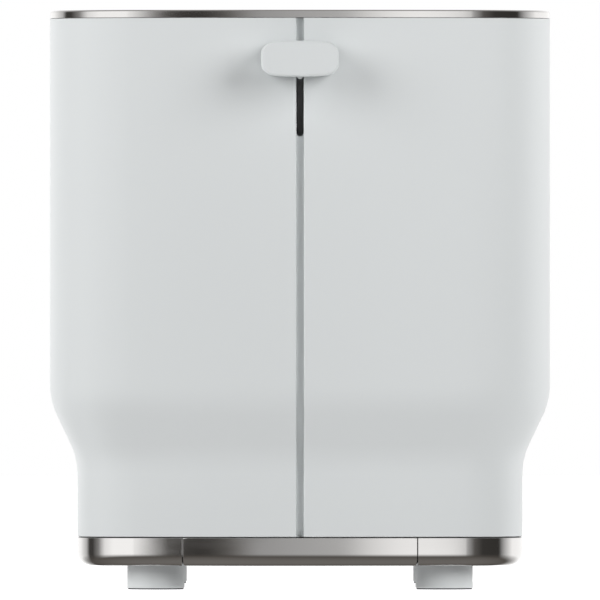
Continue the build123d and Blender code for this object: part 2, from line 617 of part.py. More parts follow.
def bread_rack(sx):
    """Edge-on strip that carries the bread, with cross wires, hung from the carriage's wing."""
    x = sx * SLOT_X
    half, top = RACK_T / 2, RACK_TOP - 1.2
    rack = box(x - half, x + half, CARRIAGE_BACK + WING_T, PLATE_Y + 5, top - RACK_H, top)
    for i in range(RACK_WIRES):
        y = (i - (RACK_WIRES - 1) / 2) * RACK_PITCH
        rack += rod("X", (x, y, RACK_TOP - RACK_WIRE_R), RACK_WIRE_R, RACK_WIRE_L)
    return rack


def armature():
    """Soft-iron plate under the carriage shelf."""
    plate = box(-SHELF_HALF_W + 1, SHELF_HALF_W - 1, SHELF_FRONT, SHELF_FRONT + 12, ARMATURE_LOW, SHELF_LOW)
    return fillet(plate.edges().filter_by(Axis.Z), 1.0)


def guide_rod(sx):
    top = BRACKET_TOP + BRACKET_T
    bar = rod("Z", (sx * ROD_X, ROD_Y, (BRACKET_LOW + top) / 2), ROD_R, top - BRACKET_LOW)
    return chamfer(bar.edges().filter_by(GeomType.CIRCLE), 0.5)


def rod_bracket(z):
    """Angle bracket on the front chamber plate that holds both rods."""
    back, top = -PLATE_Y - PLATE_T, z + BRACKET_T
    bracket = box(-BRACKET_X, BRACKET_X, BRACKET_FRONT, back, z, top)
    bracket += box(-BRACKET_X, BRACKET_X, back - BRACKET_T, back, z - BRACKET_DROP, top)
    for sx in (1, -1):
        bracket -= rod("Z", (sx * ROD_X, ROD_Y, z), ROD_R, 20)
    return bracket


def return_spring(sx):
    """Compression spring round a guide rod, between the lower bracket and the carriage."""
    low = BRACKET_LOW + BRACKET_T + SPRING_WIRE / 2
    height = CARRIAGE_LOW - SPRING_WIRE / 2 - low
    path = Helix(pitch=height / SPRING_TURNS, height=height, radius=SPRING_R)
    wire = Plane(origin=path @ 0, z_dir=path % 0) * Circle(SPRING_WIRE / 2 - 0.05)
    return Pos(sx * ROD_X, ROD_Y, low) * sweep(wire, path=path, is_frenet=True)


def magnet_core():
    """E-shaped laminated core standing on the main board."""
    front, back = MAGNET_Y - CORE_HALF_D, MAGNET_Y + CORE_HALF_D
    core = box(-CORE_HALF_W, CORE_HALF_W, front, back, BOARD_SURFACE, MAGNET_TOP)
    window = box(LEG_HALF, LEG_HALF + WINDOW_W, front - 1, back + 1, BOARD_SURFACE + 5, MAGNET_TOP + 1)
    return core - both_sides(window)


def magnet_coil():
    """Coil on the core's middle leg."""
    coil = box(-COIL_HALF_W, COIL_HALF_W, MAGNET_Y - COIL_HALF_D, MAGNET_Y + COIL_HALF_D, COIL_LOW, COIL_TOP)
    coil = fillet(coil.edges().filter_by(Axis.Z), 2)
    hole_w, hole_d = LEG_HALF + FIT_GAP, CORE_HALF_D + FIT_GAP
    return coil - box(-hole_w, hole_w, MAGNET_Y - hole_d, MAGNET_Y + hole_d, COIL_LOW - 1, COIL_TOP + 1)


def main_board():
    board = box(-POST_X - 4, POST_X + 4, POST_Y[0] - 8, POST_Y[1] + 13, MAIN_BOARD_LOW, BOARD_SURFACE)
    for x, y in board_posts():
        board -= rod("Z", (x, y, MAIN_BOARD_LOW), SCREW_R + SCREW_CLEAR, 6)
    return board


def board_screws():
    """Screws down through the main board into the posts."""
    screws, shank = [], 5.9
    for x, y in board_posts():
        head = rod("Z", (x, y, BOARD_SURFACE + HEAD_T / 2), HEAD_R, HEAD_T)
        screws.append(head + rod("Z", (x, y, BOARD_SURFACE - shank / 2), POST_PILOT_R - 0.05, shank))
    return Compound(screws)


def main_switch():
    """Two contact blocks that the carriage's ears close at the end of the travel."""
    top = CARRIAGE_LOW - LEVER_TRAVEL - 0.3
    blocks = []
    for sx in (1, -1):
        block = box(SWITCH_X0, SWITCH_X1, CARRIAGE_FRONT, CARRIAGE_BACK - 1, BOARD_SURFACE, SWITCH_TOP)
        block += rod("Z", (EAR_X - 3, ROD_Y, (SWITCH_TOP + top) / 2), 2.0, top - SWITCH_TOP)
        blocks.append(block if sx > 0 else mirror(block, Plane.YZ))
    return Compound(blocks)


# ---- controls -----------------------------------------------------------------------------------------
def button(z):
    """Round cap with a stop flange behind the wall and a stem to its key switch."""
    cap = rod("X", (-HALF_W + 2.5, BUTTON_Y, z), BUTTON_R, 5)
    cap = fillet(cap.edges().sort_by(Axis.X)[0], 0.5)
    cap += rod("X", (-HALF_W + WALL + 0.6, BUTTON_Y, z), FLANGE_R, FLANGE_T)
    stem_end = SWITCH_FACE_X - BUTTON_TRAVEL - 0.1
    return cap + rod("X", ((CAP_IN + stem_end) / 2, BUTTON_Y, z), STEM_R, stem_end - CAP_IN)


def button_carrier():
    """Moulded plate that guides the button stems and stands off the housing wall."""
    x0, x1 = CAP_IN + 1.4, CAP_IN + 2.9
    shelf_t = 3.0
    plate = box(x0, x1, BOARD_FRONT, BOARD_BACK, BOARD_LOW, BOARD_TOP)
    for z in (BOARD_LOW, BOARD_TOP - shelf_t):
        plate += box(-HALF_W + WALL + FIT_GAP, BOARD_X, BOARD_FRONT, BOARD_BACK, z, z + shelf_t)
    for z in BUTTONS.values():
        plate -= rod("X", (x0, BUTTON_Y, z), STEM_R + 0.15, 10)
    for z in light_heights():
        plate -= rod("X", (x0, BUTTON_Y, z), LIGHT_R + 0.05, 10)
    return plate


def browning_lights():
    """Light pipes from the control board to the housing's surface."""
    x0, x1 = -HALF_W, BOARD_X
    return Compound([rod("X", ((x0 + x1) / 2, BUTTON_Y, z), LIGHT_R, x1 - x0) for z in light_heights()])


def control_board():
    return box(BOARD_X, BOARD_X + BOARD_T, BOARD_FRONT, BOARD_BACK, BOARD_LOW, BOARD_TOP)


def key_switches():
    """Tactile switches under the buttons."""
    switches, half, tall = [], 3.0, 3.2
    for z in BUTTONS.values():
        body = box(BOARD_X - tall, BOARD_X, BUTTON_Y - half, BUTTON_Y + half, z - half, z + half)
        reach = BOARD_X - tall + 0.1 - SWITCH_FACE_X
        switches.append(body + rod("X", (SWITCH_FACE_X + reach / 2, BUTTON_Y, z), 1.7, reach))
    return Compound(switches)


# ---- mains --------------------------------------------------------------------------------------------
def cord_gland():
    """Bored grommet in the rear strip: flange outside, groove at the wall, collar inside."""
    wall_y, end = HALF_L - WAIST, HALF_L + GLAND_OUT
    length = end - wall_y + GLAND_IN
    gland = rod("Y", (0, end - length / 2, GLAND_Z), GLAND_R, length)
    gland += rod("Y", (0, wall_y - COLLAR_IN, GLAND_Z), COLLAR_R, COLLAR_T)
    gland = fillet(gland.edges().sort_by(Axis.Y)[-1], 1.2)
    return gland - rod("Y", (0, wall_y, GLAND_Z), GLAND_BORE_R, 80)


def terminal_block():
    """Two-pole screw block on the floor behind the chamber."""
    side, top = 12.0, FLOOR_TOP + 12
    block = box(-14, 14, TERMINAL_Y - side / 2, TERMINAL_Y + side / 2, FLOOR_TOP, top)
    for x in (-TERMINAL_X, TERMINAL_X):
        block -= rod("Y", (x, TERMINAL_Y, TERMINAL_Z), 2.2, 20)
        block -= rod("Z", (x, TERMINAL_Y, top), 1.8, 5)
    return block


def mains_leads():
    """The two leads from the terminal block along the sides to the main board."""
    leads = []
    start, rise = TERMINAL_Y - 6, TERMINAL_Z + 8
    for sx in (1, -1):
        near, side, board = sx * TERMINAL_X, sx * LEAD_SIDE_X, sx * (POST_X - 6)
        path = FilletPolyline(
            (near, start, TERMINAL_Z), (near, start - 8, TERMINAL_Z), (side, start - 14, rise),
            (side, -84, rise), (board, -90, 44), (board, -90, MAIN_BOARD_LOW), radius=LEAD_BEND,
        )
        profile = Plane(origin=path @ 0, z_dir=path % 0) * Circle(LEAD_R)
        leads.append(sweep(profile, path=path))
    return Compound(leads)


# ---- everything, by node name -------------------------------------------------------------------------
def sub_parts():
    parts = {
        "left_shell": left_shell(), "right_shell": right_shell(),
        "front_strip": front_strip(), "rear_strip": rear_strip(),
        "top_cover": top_cover(), "top_frame": top_frame(),
        "base_band": base_band(), "base_plate": base_plate(),
        "crumb_tray": crumb_tray(), "crumb_tray_front": crumb_tray_front(),
        "foot_pads": foot_pads(), "base_screws": base_screws(),
        "lever_knob": lever_knob(), "lever_arm": lever_arm(), "carriage": carriage(), "armature": armature(),
        "rod_bracket_top": rod_bracket(BRACKET_TOP), "rod_bracket_bottom": rod_bracket(BRACKET_LOW),
        "magnet_core": magnet_core(), "magnet_coil": magnet_coil(),
        "main_board": main_board(), "main_switch": main_switch(), "board_screws": board_screws(),
        "control_board": control_board(), "key_switches": key_switches(),
        "button_carrier": button_carrier(), "browning_lights": browning_lights(),
        "chamber_plate_front": chamber_plate(-1), "chamber_plate_rear": chamber_plate(1),
        "reflector_left": reflector(-1), "reflector_right": reflector(1),
        "heater_ribbons": Compound([heater_ribbon(x) for x in heater_places().values()]),
        "heater_links": heater_links(),
        "cord_gland": cord_gland(), "terminal_block": terminal_block(), "mains_leads": mains_leads(),
    }
    for name, (sx, sy) in {
        "front_left": (-1, -1), "front_right": (1, -1), "rear_left": (-1, 1), "rear_right": (1, 1)
    }.items():
        parts[f"foot_{name}"] = foot(sx * FOOT_X, sy * FOOT_Y)
    for side, sx in {"left": -1, "right": 1}.items():
        parts[f"bread_rack_{side}"] = bread_rack(sx)
        parts[f"guide_rod_{side}"] = guide_rod(sx)
        parts[f"return_spring_{side}"] = return_spring(sx)
    for name, z in BUTTONS.items():
        parts[f"button_{name}"] = button(z)
    for name, x in heater_places().items():
        parts[f"heater_{name}"] = heater_card(x)
    for name, x in guide_places().items():
        parts[f"bread_guide_{name}"] = bread_guide(x)
    return parts


os.makedirs("parts", exist_ok=True)
for node, shape in sub_parts().items():
    export_step(Pos(0, BODY_Y, 0) * shape, f"parts/{node}.step")
print("nodes written:", len(os.listdir("parts")))
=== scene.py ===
import json
from math import asin, cos, pi, radians, sin, sqrt, tan

import bmesh
import bpy
from mathutils import Euler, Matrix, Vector


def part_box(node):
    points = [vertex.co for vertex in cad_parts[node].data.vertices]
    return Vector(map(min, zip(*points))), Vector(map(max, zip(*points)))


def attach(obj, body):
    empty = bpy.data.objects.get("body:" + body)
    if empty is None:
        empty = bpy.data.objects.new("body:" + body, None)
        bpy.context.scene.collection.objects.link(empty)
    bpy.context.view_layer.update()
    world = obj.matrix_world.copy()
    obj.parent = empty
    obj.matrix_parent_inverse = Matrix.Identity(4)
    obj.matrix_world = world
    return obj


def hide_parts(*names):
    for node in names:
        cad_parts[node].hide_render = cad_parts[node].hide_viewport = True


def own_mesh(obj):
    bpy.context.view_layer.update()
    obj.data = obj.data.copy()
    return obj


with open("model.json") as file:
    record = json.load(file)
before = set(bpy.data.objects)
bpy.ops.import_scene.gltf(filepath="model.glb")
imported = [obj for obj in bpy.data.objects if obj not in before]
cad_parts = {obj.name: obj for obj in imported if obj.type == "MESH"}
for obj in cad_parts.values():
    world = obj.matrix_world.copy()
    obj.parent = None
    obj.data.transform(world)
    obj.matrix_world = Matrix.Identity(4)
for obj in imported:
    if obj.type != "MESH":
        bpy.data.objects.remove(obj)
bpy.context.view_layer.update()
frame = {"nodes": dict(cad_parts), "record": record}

MM = 0.001
WELD = 1e-7

# ---- places read from the frame -----------------------------------------------------------------------
COVER_LO, COVER_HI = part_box("top_cover")
BAND_LO, BAND_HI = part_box("base_band")
SHELL_LO, SHELL_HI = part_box("right_shell")
HALF_W = COVER_HI.x
HALF_L = (COVER_HI.y - COVER_LO.y) / 2
MID_Y = (COVER_HI.y + COVER_LO.y) / 2
WAIST = HALF_W - BAND_HI.x
TRAY_HALF_W = -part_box("crumb_tray")[0].x + 1.0 * MM

# ---- the housing's own curves -------------------------------------------------------------------------
CORNER_R, END_BOW_R = 34 * MM, 300 * MM
BLEND_R = 24.5 * MM
WAIST_LOW, WAIST_HIGH = 39.5 * MM, 70.4 * MM
WALL, SHEET = 2.2 * MM, 1.0 * MM
EDGE_R = 0.4 * MM
SEAM_HALF = SHELL_LO.x
SHELL_TOP, COVER_LOW = SHELL_HI.z + 0.1 * MM, SHELL_HI.z + 0.22 * MM
CORNER_X = HALF_W - CORNER_R
BOW_Y = HALF_L - END_BOW_R
CORNER_Y = BOW_Y + sqrt((END_BOW_R - CORNER_R) ** 2 - CORNER_X**2)
BOW_HALF = asin(CORNER_X / (END_BOW_R - CORNER_R))


def waist_lean():
    """Steepest lean of the waist between its two arcs."""
    low, high = 0.0, radians(60)
    for _ in range(50):
        lean = (low + high) / 2
        drawn = 2 * BLEND_R * (1 - cos(lean)) + (WAIST_HIGH - WAIST_LOW - 2 * BLEND_R * sin(lean)) * tan(lean)
        low, high = (lean, high) if drawn < WAIST else (low, lean)
    return low


LEAN = waist_lean()


def spread(a, b, n):
    """n + 1 even values from a to b."""
    return [a + (b - a) * i / n for i in range(n + 1)]


# ---- materials ----------------------------------------------------------------------------------------
class Surface:
    """A procedural material: a Principled shader with its colour, roughness and relief built from noises."""

    def __init__(self, name, color, roughness, metallic=0.0, **sockets):
        self.material = bpy.data.materials.new(name)
        self.material.use_nodes = True
        self.nodes, self.links = self.material.node_tree.nodes, self.material.node_tree.links
        self.shader = self.nodes["Principled BSDF"]
        self.shader.inputs["Base Color"].default_value = (*color, 1)
        self.shader.inputs["Roughness"].default_value = roughness
        self.shader.inputs["Metallic"].default_value = metallic
        for socket, value in sockets.items():
            self.shader.inputs[socket.replace("_", " ")].default_value = value
        self.color, self.roughness, self.relief = color, roughness, None
        self.coords = self.nodes.new("ShaderNodeTexCoord")
        self.material.diffuse_color = (*color, 1)

    def place(self, stretch=(1, 1, 1)):
        """Object coordinates, stretched along the axes."""
        mapping = self.nodes.new("ShaderNodeMapping")
        mapping.inputs["Scale"].default_value = stretch
        self.links.new(self.coords.outputs["Object"], mapping.inputs["Vector"])
        return mapping.outputs["Vector"]

    def noise(self, scale, detail=3.0, stretch=(1, 1, 1), rough=0.5):
        node = self.nodes.new("ShaderNodeTexNoise")
        node.inputs["Scale"].default_value = scale
        node.inputs["Detail"].default_value = detail
        node.inputs["Roughness"].default_value = rough
        self.links.new(self.place(stretch), node.inputs["Vector"])
        return node.outputs["Fac"]

    def cells(self, scale):
        node = self.nodes.new("ShaderNodeTexVoronoi")
        node.inputs["Scale"].default_value = scale
        self.links.new(self.place(), node.inputs["Vector"])
        return node.outputs["Distance"]

    def tint(self, value, other, low=0.35, high=0.65):
        """Mixes another colour in where value is high."""
        ramp = self.nodes.new("ShaderNodeMapRange")
        ramp.inputs["From Min"].default_value, ramp.inputs["From Max"].default_value = low, high
        self.links.new(value, ramp.inputs["Value"])
        mix = self.nodes.new("ShaderNodeMix")
        mix.data_type = "RGBA"
        self.links.new(ramp.outputs["Result"], mix.inputs["Factor"])
        base = self.shader.inputs["Base Color"]
        if base.links:
            self.links.new(base.links[0].from_socket, mix.inputs["A"])
        else:
            mix.inputs["A"].default_value = (*self.color, 1)
        mix.inputs["B"].default_value = (*other, 1)
        self.links.new(mix.outputs["Result"], base)
        return self

    def gloss(self, value, spread_by, low=0.3, high=0.7):
        """Varies the roughness either side of its mean."""
        ramp = self.nodes.new("ShaderNodeMapRange")
        ramp.inputs["From Min"].default_value, ramp.inputs["From Max"].default_value = low, high
        ramp.inputs["To Min"].default_value = max(0.0, self.roughness - spread_by)
        ramp.inputs["To Max"].default_value = self.roughness + spread_by
        self.links.new(value, ramp.inputs["Value"])
        self.links.new(ramp.outputs["Result"], self.shader.inputs["Roughness"])
        return self

    def bump(self, value, depth, strength=1.0):
        """Relief of that depth in metres; several are laid over each other."""
        node = self.nodes.new("ShaderNodeBump")
        node.inputs["Distance"].default_value = depth
        node.inputs["Strength"].default_value = strength
        self.links.new(value, node.inputs["Height"])
        if self.relief:
            self.links.new(self.relief, node.inputs["Normal"])
        self.relief = node.outputs["Normal"]
        self.links.new(self.relief, self.shader.inputs["Normal"])
        return self


def shade(color, by):
    return tuple(min(1.0, c * by) for c in color)


def moulded(name, color, roughness, grain=2600, depth=0.0008 * MM, **sockets):
    """Moulded plastic: spark-eroded grain, faint flow marks and a little haze."""
    s = Surface(name, color, roughness, IOR=1.5, **sockets)
    s.tint(s.noise(9, 2, (1, 1, 0.35)), shade(color, 0.99), 0.2, 0.8)
    s.gloss(s.noise(38, 4), roughness * 0.08, 0.2, 0.8)
    s.bump(s.noise(grain, 2), depth)
    s.bump(s.noise(24, 1), 0.01 * MM, 0.3)
    return s.material


def polished(name, color, roughness):
    """Mirror-polished stainless sheet: long level polishing lines and faint smears."""
    stretch = (1, 1, 60)
    s = Surface(name, color, roughness, metallic=1.0)
    s.tint(s.noise(14, 3), shade(color, 0.965))
    s.gloss(s.noise(30, 5, (1.1, 1.1, 7)), roughness * 0.35)
    s.bump(s.noise(90, 5, stretch, 0.65), 0.0016 * MM)
    s.bump(s.noise(16, 1), 0.03 * MM, 0.25)
    return s.material


def rolled(name, color, roughness, stretch=(1, 12, 12), stain=0.86):
    """Plain rolled sheet metal: rolling lines, stains and small dents."""
    s = Surface(name, color, roughness, metallic=1.0)
    s.tint(s.noise(22, 5), shade(color, stain))
    s.gloss(s.noise(110, 4, stretch), roughness * 0.35)
    s.bump(s.noise(160, 4, stretch), 0.01 * MM)
    s.bump(s.noise(30, 2), 0.05 * MM, 0.3)
    return s.material


def wire(name, color, roughness, soot):
    """Plated wire: bright, heat-stained in patches."""
    s = Surface(name, color, roughness, metallic=1.0)
    s.tint(s.noise(26, 4), soot, 0.5, 0.75)
    s.gloss(s.noise(300, 3), roughness * 0.5)
    s.bump(s.noise(900, 3), 0.008 * MM)
    return s.material


def mica(name):
    """Pressed mica: overlapping pearly flakes, brown specks and pale glints."""
    s = Surface(name, (0.52, 0.44, 0.32), 0.42)
    s.tint(s.noise(45, 6), (0.36, 0.27, 0.17), 0.42, 0.62)
    s.tint(s.cells(260), (0.62, 0.56, 0.45), 0.28, 0.5)
    s.gloss(s.cells(320), 0.2, 0.1, 0.6)
    s.bump(s.cells(320), 0.06 * MM, 0.6)
    s.bump(s.noise(60, 4), 0.05 * MM, 0.5)
    return s.material


def heating_ribbon(name):
    """Resistance ribbon, blued and browned by heat."""
    s = Surface(name, (0.34, 0.31, 0.29), 0.38, metallic=1.0)
    s.tint(s.noise(55, 3), (0.2, 0.13, 0.09), 0.45, 0.65)
    s.tint(s.noise(31, 2), (0.24, 0.25, 0.31), 0.55, 0.75)
    s.gloss(s.noise(400, 3), 0.12)
    s.bump(s.noise(700, 3, (1, 8, 1)), 0.01 * MM)
    return s.material


def rubbery(name, color, roughness=0.75):
    s = Surface(name, color, roughness)
    s.tint(s.noise(40, 4), shade(color, 1.5))
    s.gloss(s.noise(200, 3), 0.1)
    s.bump(s.noise(1400, 3), 0.02 * MM)
    return s.material


def laminate(name, color):
    """Printed-circuit laminate: a faint weave under the lacquer, with darker blotches."""
    s = Surface(name, color, 0.35)
    weave = 420
    s.tint(s.cells(90), shade(color, 0.7), 0.3, 0.32)
    s.gloss(s.noise(weave, 2), 0.08)
    s.bump(s.noise(weave, 2, (1, 0.2, 1)), 0.02 * MM)
    s.bump(s.noise(weave, 2, (0.2, 1, 1)), 0.02 * MM)
    return s.material


def winding(name):
    """Enamelled copper wound in level turns."""
    s = Surface(name, (0.6, 0.27, 0.11), 0.25, metallic=1.0)
    s.tint(s.noise(60, 3), (0.42, 0.16, 0.06))
    s.gloss(s.noise(500, 2), 0.08)
    s.bump(s.noise(40, 1, (1, 1, 90)), 0.15 * MM)
    return s.material


def clear_amber(name):
    """Clear light pipe with a warm tint and a slightly ground end."""
    s = Surface(name, (0.98, 0.8, 0.5), 0.18, Transmission_Weight=0.85, IOR=1.49)
    s.tint(s.noise(200, 3), (0.95, 0.7, 0.36))
    s.gloss(s.noise(900, 3), 0.08)
    s.bump(s.noise(1800, 2), 0.006 * MM)
    return s.material


WHITE = (0.80, 0.826, 0.83)
STEEL = (0.80, 0.785, 0.77)
LOOKS = {
    "housing_white": moulded("housing_plastic", WHITE, 0.31),
    "strip_grey": moulded("strip_plastic", shade(WHITE, 0.97), 0.38),
    "lever_white": moulded("lever_plastic", WHITE, 0.3, 3200),
    "button_grey": moulded("button_plastic", shade(WHITE, 0.93), 0.3, 3200),
    # Feet are drawn a brighter white than the housing. This is painted light: it stands in for light from
    # below that the lamps here don't give them under the base.
    "foot_grey": moulded("foot_plastic_painted_bright", shade(WHITE, 1.12), 0.42),
    "base_black": moulded("base_plastic", (0.028, 0.028, 0.03), 0.5, 1500, 0.02 * MM),
    "carriage_black": moulded("carriage_plastic", (0.035, 0.034, 0.036), 0.45, 1500, 0.02 * MM),
    "switch_black": moulded("switch_plastic", (0.02, 0.02, 0.02), 0.4),
    "terminal_white": moulded("terminal_nylon", (0.7, 0.68, 0.62), 0.45),
    "polished_steel": polished("polished_steel", STEEL, 0.09),
    "sheet_steel": rolled("sheet_steel", (0.56, 0.55, 0.54), 0.36),
    "bright_sheet": rolled("bright_sheet", (0.74, 0.74, 0.73), 0.26, (12, 1, 12), 0.93),
    "wire_chrome": wire("wire_chrome", (0.66, 0.65, 0.63), 0.2, (0.36, 0.29, 0.22)),
    "rod_steel": wire("rod_steel", (0.6, 0.59, 0.58), 0.18, (0.5, 0.48, 0.45)),
    "spring_steel": wire("spring_steel", (0.4, 0.39, 0.38), 0.3, (0.28, 0.25, 0.22)),
    "screw_zinc": wire("screw_zinc", (0.62, 0.6, 0.55), 0.3, (0.5, 0.46, 0.36)),
    "core_iron": rolled("core_iron", (0.3, 0.29, 0.28), 0.45, (1, 30, 1), 0.7),
    "mica": mica("mica"),
    "ribbon": heating_ribbon("heating_ribbon"),
    "coil_copper": winding("coil_copper"),
    "board_tan": laminate("board_tan", (0.36, 0.24, 0.1)),
    "board_green": laminate("board_green", (0.03, 0.15, 0.06)),
    "pad_rubber": rubbery("pad_rubber", (0.05, 0.05, 0.052)),
    "lead_brown": rubbery("lead_sleeve", (0.16, 0.075, 0.035)),
    "light_clear": clear_amber("light_pipe"),
}
PRINT_GREY = moulded("print_grey", (0.22, 0.23, 0.24), 0.5)


def dress_frame():
    """Every CAD node that stays takes the finish of its slot."""
    for part in frame["record"]["subparts"]:
        node = frame["nodes"][part["node"]]
        node.data.materials.clear()
        node.data.materials.append(LOOKS[part["material_slot"]])


# ---- meshes -------------------------------------------------------------------------------------------
def raw_mesh(name, verts, faces, weld=False):
    """A mesh with its faces turned outwards; weld merges the points that coincide."""
    mesh = bpy.data.meshes.new(name)
    mesh.from_pydata([tuple(v) for v in verts], [], faces)
    bm = bmesh.new()
    bm.from_mesh(mesh)
    if weld:
        bmesh.ops.remove_doubles(bm, verts=bm.verts, dist=WELD)
        bmesh.ops.dissolve_degenerate(bm, dist=WELD, edges=bm.edges)
    bmesh.ops.recalc_face_normals(bm, faces=bm.faces)
    bm.to_mesh(mesh)
    bm.free()
    return mesh


def joined(*meshes):
    """Several vertex and face lists as one."""
    verts, faces = [], []
    for v, f in meshes:
        base = len(verts)
        verts += list(v)
        faces += [tuple(base + i for i in face) for face in f]
    return verts, faces


def add_piece(name, verts, faces, slot, body, nodes=(), look=None, sharp=38):
    """A closed mesh that rides on a body and, if nodes are given, stands for them."""
    mesh = raw_mesh(name, verts, faces, weld=True)
    return finish_piece(mesh, name, slot, body, nodes, look, sharp)


def finish_piece(mesh, name, slot, body, nodes=(), look=None, sharp=38):
    mesh.shade_smooth()
    mesh.set_sharp_from_angle(angle=radians(sharp))
    mesh.materials.append(look or LOOKS[slot])
    piece = bpy.data.objects.new(name, mesh)
    bpy.context.scene.collection.objects.link(piece)
    weighted = piece.modifiers.new("weighted", "WEIGHTED_NORMAL")
    weighted.keep_sharp = True
    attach(piece, body)
    if nodes:
        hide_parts(*nodes)
    return piece


def loft(loops, closed_loop=True, closed_path=False, caps=False):
    """Faces between equal loops, and strip caps for a loop made of an outer and an inner half."""
    n = len(loops[0])
    verts = [p for loop in loops for p in loop]
    faces = []
    rows = len(loops)
    for i in range(rows if closed_path else rows - 1):
        j = (i + 1) % rows
        for k in range(n if closed_loop else n - 1):
            m = (k + 1) % n
            faces.append((i * n + k, i * n + m, j * n + m, j * n + k))
    if caps:
        for start in (0, (rows - 1) * n):
            for k in range(n // 2 - 1):
                faces.append((start + k, start + k + 1, start + n - 2 - k, start + n - 1 - k))
    return verts, faces


def arc_stations(cx, cy, radius, a0, a1, n):
    """Stations on an arc of the plan: its centre, its radius and the heading of its normal from -Y."""
    return [(cx, cy, radius, a) for a in spread(a0, a1, n)]


def half_stations(seam=0.0):
    """The +X half of the outline, from the lever end's middle round to the rear end's."""
    gap = asin(seam / END_BOW_R)
    run = arc_stations(0, -BOW_Y, END_BOW_R, gap, BOW_HALF, 24)
    run += arc_stations(CORNER_X, -CORNER_Y, CORNER_R, BOW_HALF, pi / 2, 32)[1:]
    run += [(CORNER_X, y, CORNER_R, pi / 2) for y in spread(-CORNER_Y, CORNER_Y, 16)[1:-1]]
    run += arc_stations(CORNER_X, CORNER_Y, CORNER_R, pi / 2, pi - BOW_HALF, 32)
    run += arc_stations(0, BOW_Y, END_BOW_R, pi - BOW_HALF, pi - gap, 24)[1:]
    return run


def full_stations():
    """The whole outline, once round."""
    right = half_stations()
    left = [(-cx, cy, radius, 2 * pi - a) for cx, cy, radius, a in reversed(right)]
    return right + left[1:-1]


def on_outline(station, inset, z):
    cx, cy, radius, a = station
    r = radius - inset
    return (cx + r * sin(a), MID_Y + cy - r * cos(a), z)


def mirrored(verts):
    return [(-x, y, z) for x, y, z in verts]


def eased(radius, n=4):
    """Offsets along and into a surface for an edge rounded to radius: (distance from the end, drop)."""
    return [(radius * (1 - cos(t)), radius * (1 - sin(t))) for t in spread(0, pi / 2, n)]


def wall_profile(depth, z0, z1, low_r, top_r):
    """The waisted wall from bottom to top on a line depth inside the skin; edges rounded only on the skin."""
    skin = 1.0 if depth == 0 else 0.0
    points = [(WAIST + depth + e * skin, z0 + d) for d, e in eased(low_r)]
    points += [(WAIST + depth, z) for z in spread(z0 + low_r, WAIST_LOW, 4)[1:-1]]
    lower, upper = BLEND_R + depth, BLEND_R - depth
    points += [(WAIST - BLEND_R + lower * cos(t), WAIST_LOW + lower * sin(t)) for t in spread(0, LEAN, 14)]
    points += [(BLEND_R - upper * cos(t), WAIST_HIGH - upper * sin(t)) for t in spread(LEAN, 0, 14)]
    points += [(depth, z) for z in spread(WAIST_HIGH, z1 - top_r, 10)[1:-1]]
    points += [(depth + e * skin, z1 - d) for d, e in reversed(eased(top_r))]
    return points


def section_loop(station, outer, inner, drop=0.0):
    """The section at a station; drop draws the outer skin in, as where an end edge is rounded."""
    loop = [on_outline(station, inset + drop, z) for inset, z in outer]
    return loop + [on_outline(station, inset, z) for inset, z in reversed(inner)]


def turned(station, distance):
    """The station moved along its arc, towards higher headings."""
    cx, cy, radius, a = station
    return (cx, cy, radius, a + distance / radius)


def half_shell():
    """Vertices and faces of the +X housing half, seam edges rounded."""
    outer = wall_profile(0, SHELL_LO.z, SHELL_TOP, EDGE_R, 0.12 * MM)
    inner = wall_profile(WALL, SHELL_LO.z, SHELL_TOP, EDGE_R, 0.12 * MM)
    run = half_stations(SEAM_HALF)
    loops = [section_loop(turned(run[0], d), outer, inner, e) for d, e in eased(EDGE_R)]
    loops += [section_loop(station, outer, inner) for station in run[1:-1]]
    loops += [section_loop(turned(run[-1], -d), outer, inner, e) for d, e in reversed(eased(EDGE_R))]
    return loft(loops, caps=True)


# ---- cutters and lathes -------------------------------------------------------------------------------
def lathe(profile, n=72):
    """A body turned round Z from (radius, height) points; a radius of 0 closes an end."""
    verts, faces, rings = [], [], []
    for radius, height in profile:
        if radius < 1e-9:
            verts.append((0, 0, height))
            rings.append([len(verts) - 1] * n)
        else:
            rings.append(list(range(len(verts), len(verts) + n)))
            verts += [(radius * cos(2 * pi * k / n), radius * sin(2 * pi * k / n), height) for k in range(n)]
    for a, b in zip(rings, rings[1:]):
        for k in range(n):
            quad = (a[k], a[(k + 1) % n], b[(k + 1) % n], b[k])
            face = tuple(dict.fromkeys(quad))
            if len(face) > 2:
                faces.append(face)
    return verts, faces


TURN = {"+X": (0, pi / 2, 0), "-X": (0, -pi / 2, 0), "+Y": (-pi / 2, 0, 0), "-Y": (pi / 2, 0, 0),
        "+Z": (0, 0, 0), "-Z": (pi, 0, 0)}


def put(verts, centre, facing="+Z"):
    """Vertices drawn up Z, turned to face along an axis and moved to their place."""
    turn = Euler(TURN[facing]).to_matrix()
    return [tuple(turn @ Vector(v) + Vector(centre)) for v in verts]


def node_middle(node):
    lo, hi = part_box(node)
    return (lo + hi) / 2


def hole_cutter(places, radius, flare, facing, name):
    """Round cutters with a flared mouth that rounds the hole's outer edge."""
    reach = 6 * MM
    profile = [(0, -reach), (radius, -reach), (radius, -flare)]
    profile += [(radius + flare * (1 - cos(t)), -flare * (1 - sin(t))) for t in spread(0, pi / 2, 4)[1:]]
    profile += [(radius + flare, flare), (0, flare)]
    verts, faces = lathe(profile, 64)
    mesh = raw_mesh(name, *joined(*[(put(verts, place, facing), faces) for place in places]))
    cutter = bpy.data.objects.new(name, mesh)
    bpy.context.scene.collection.objects.link(cutter)
    return cutter


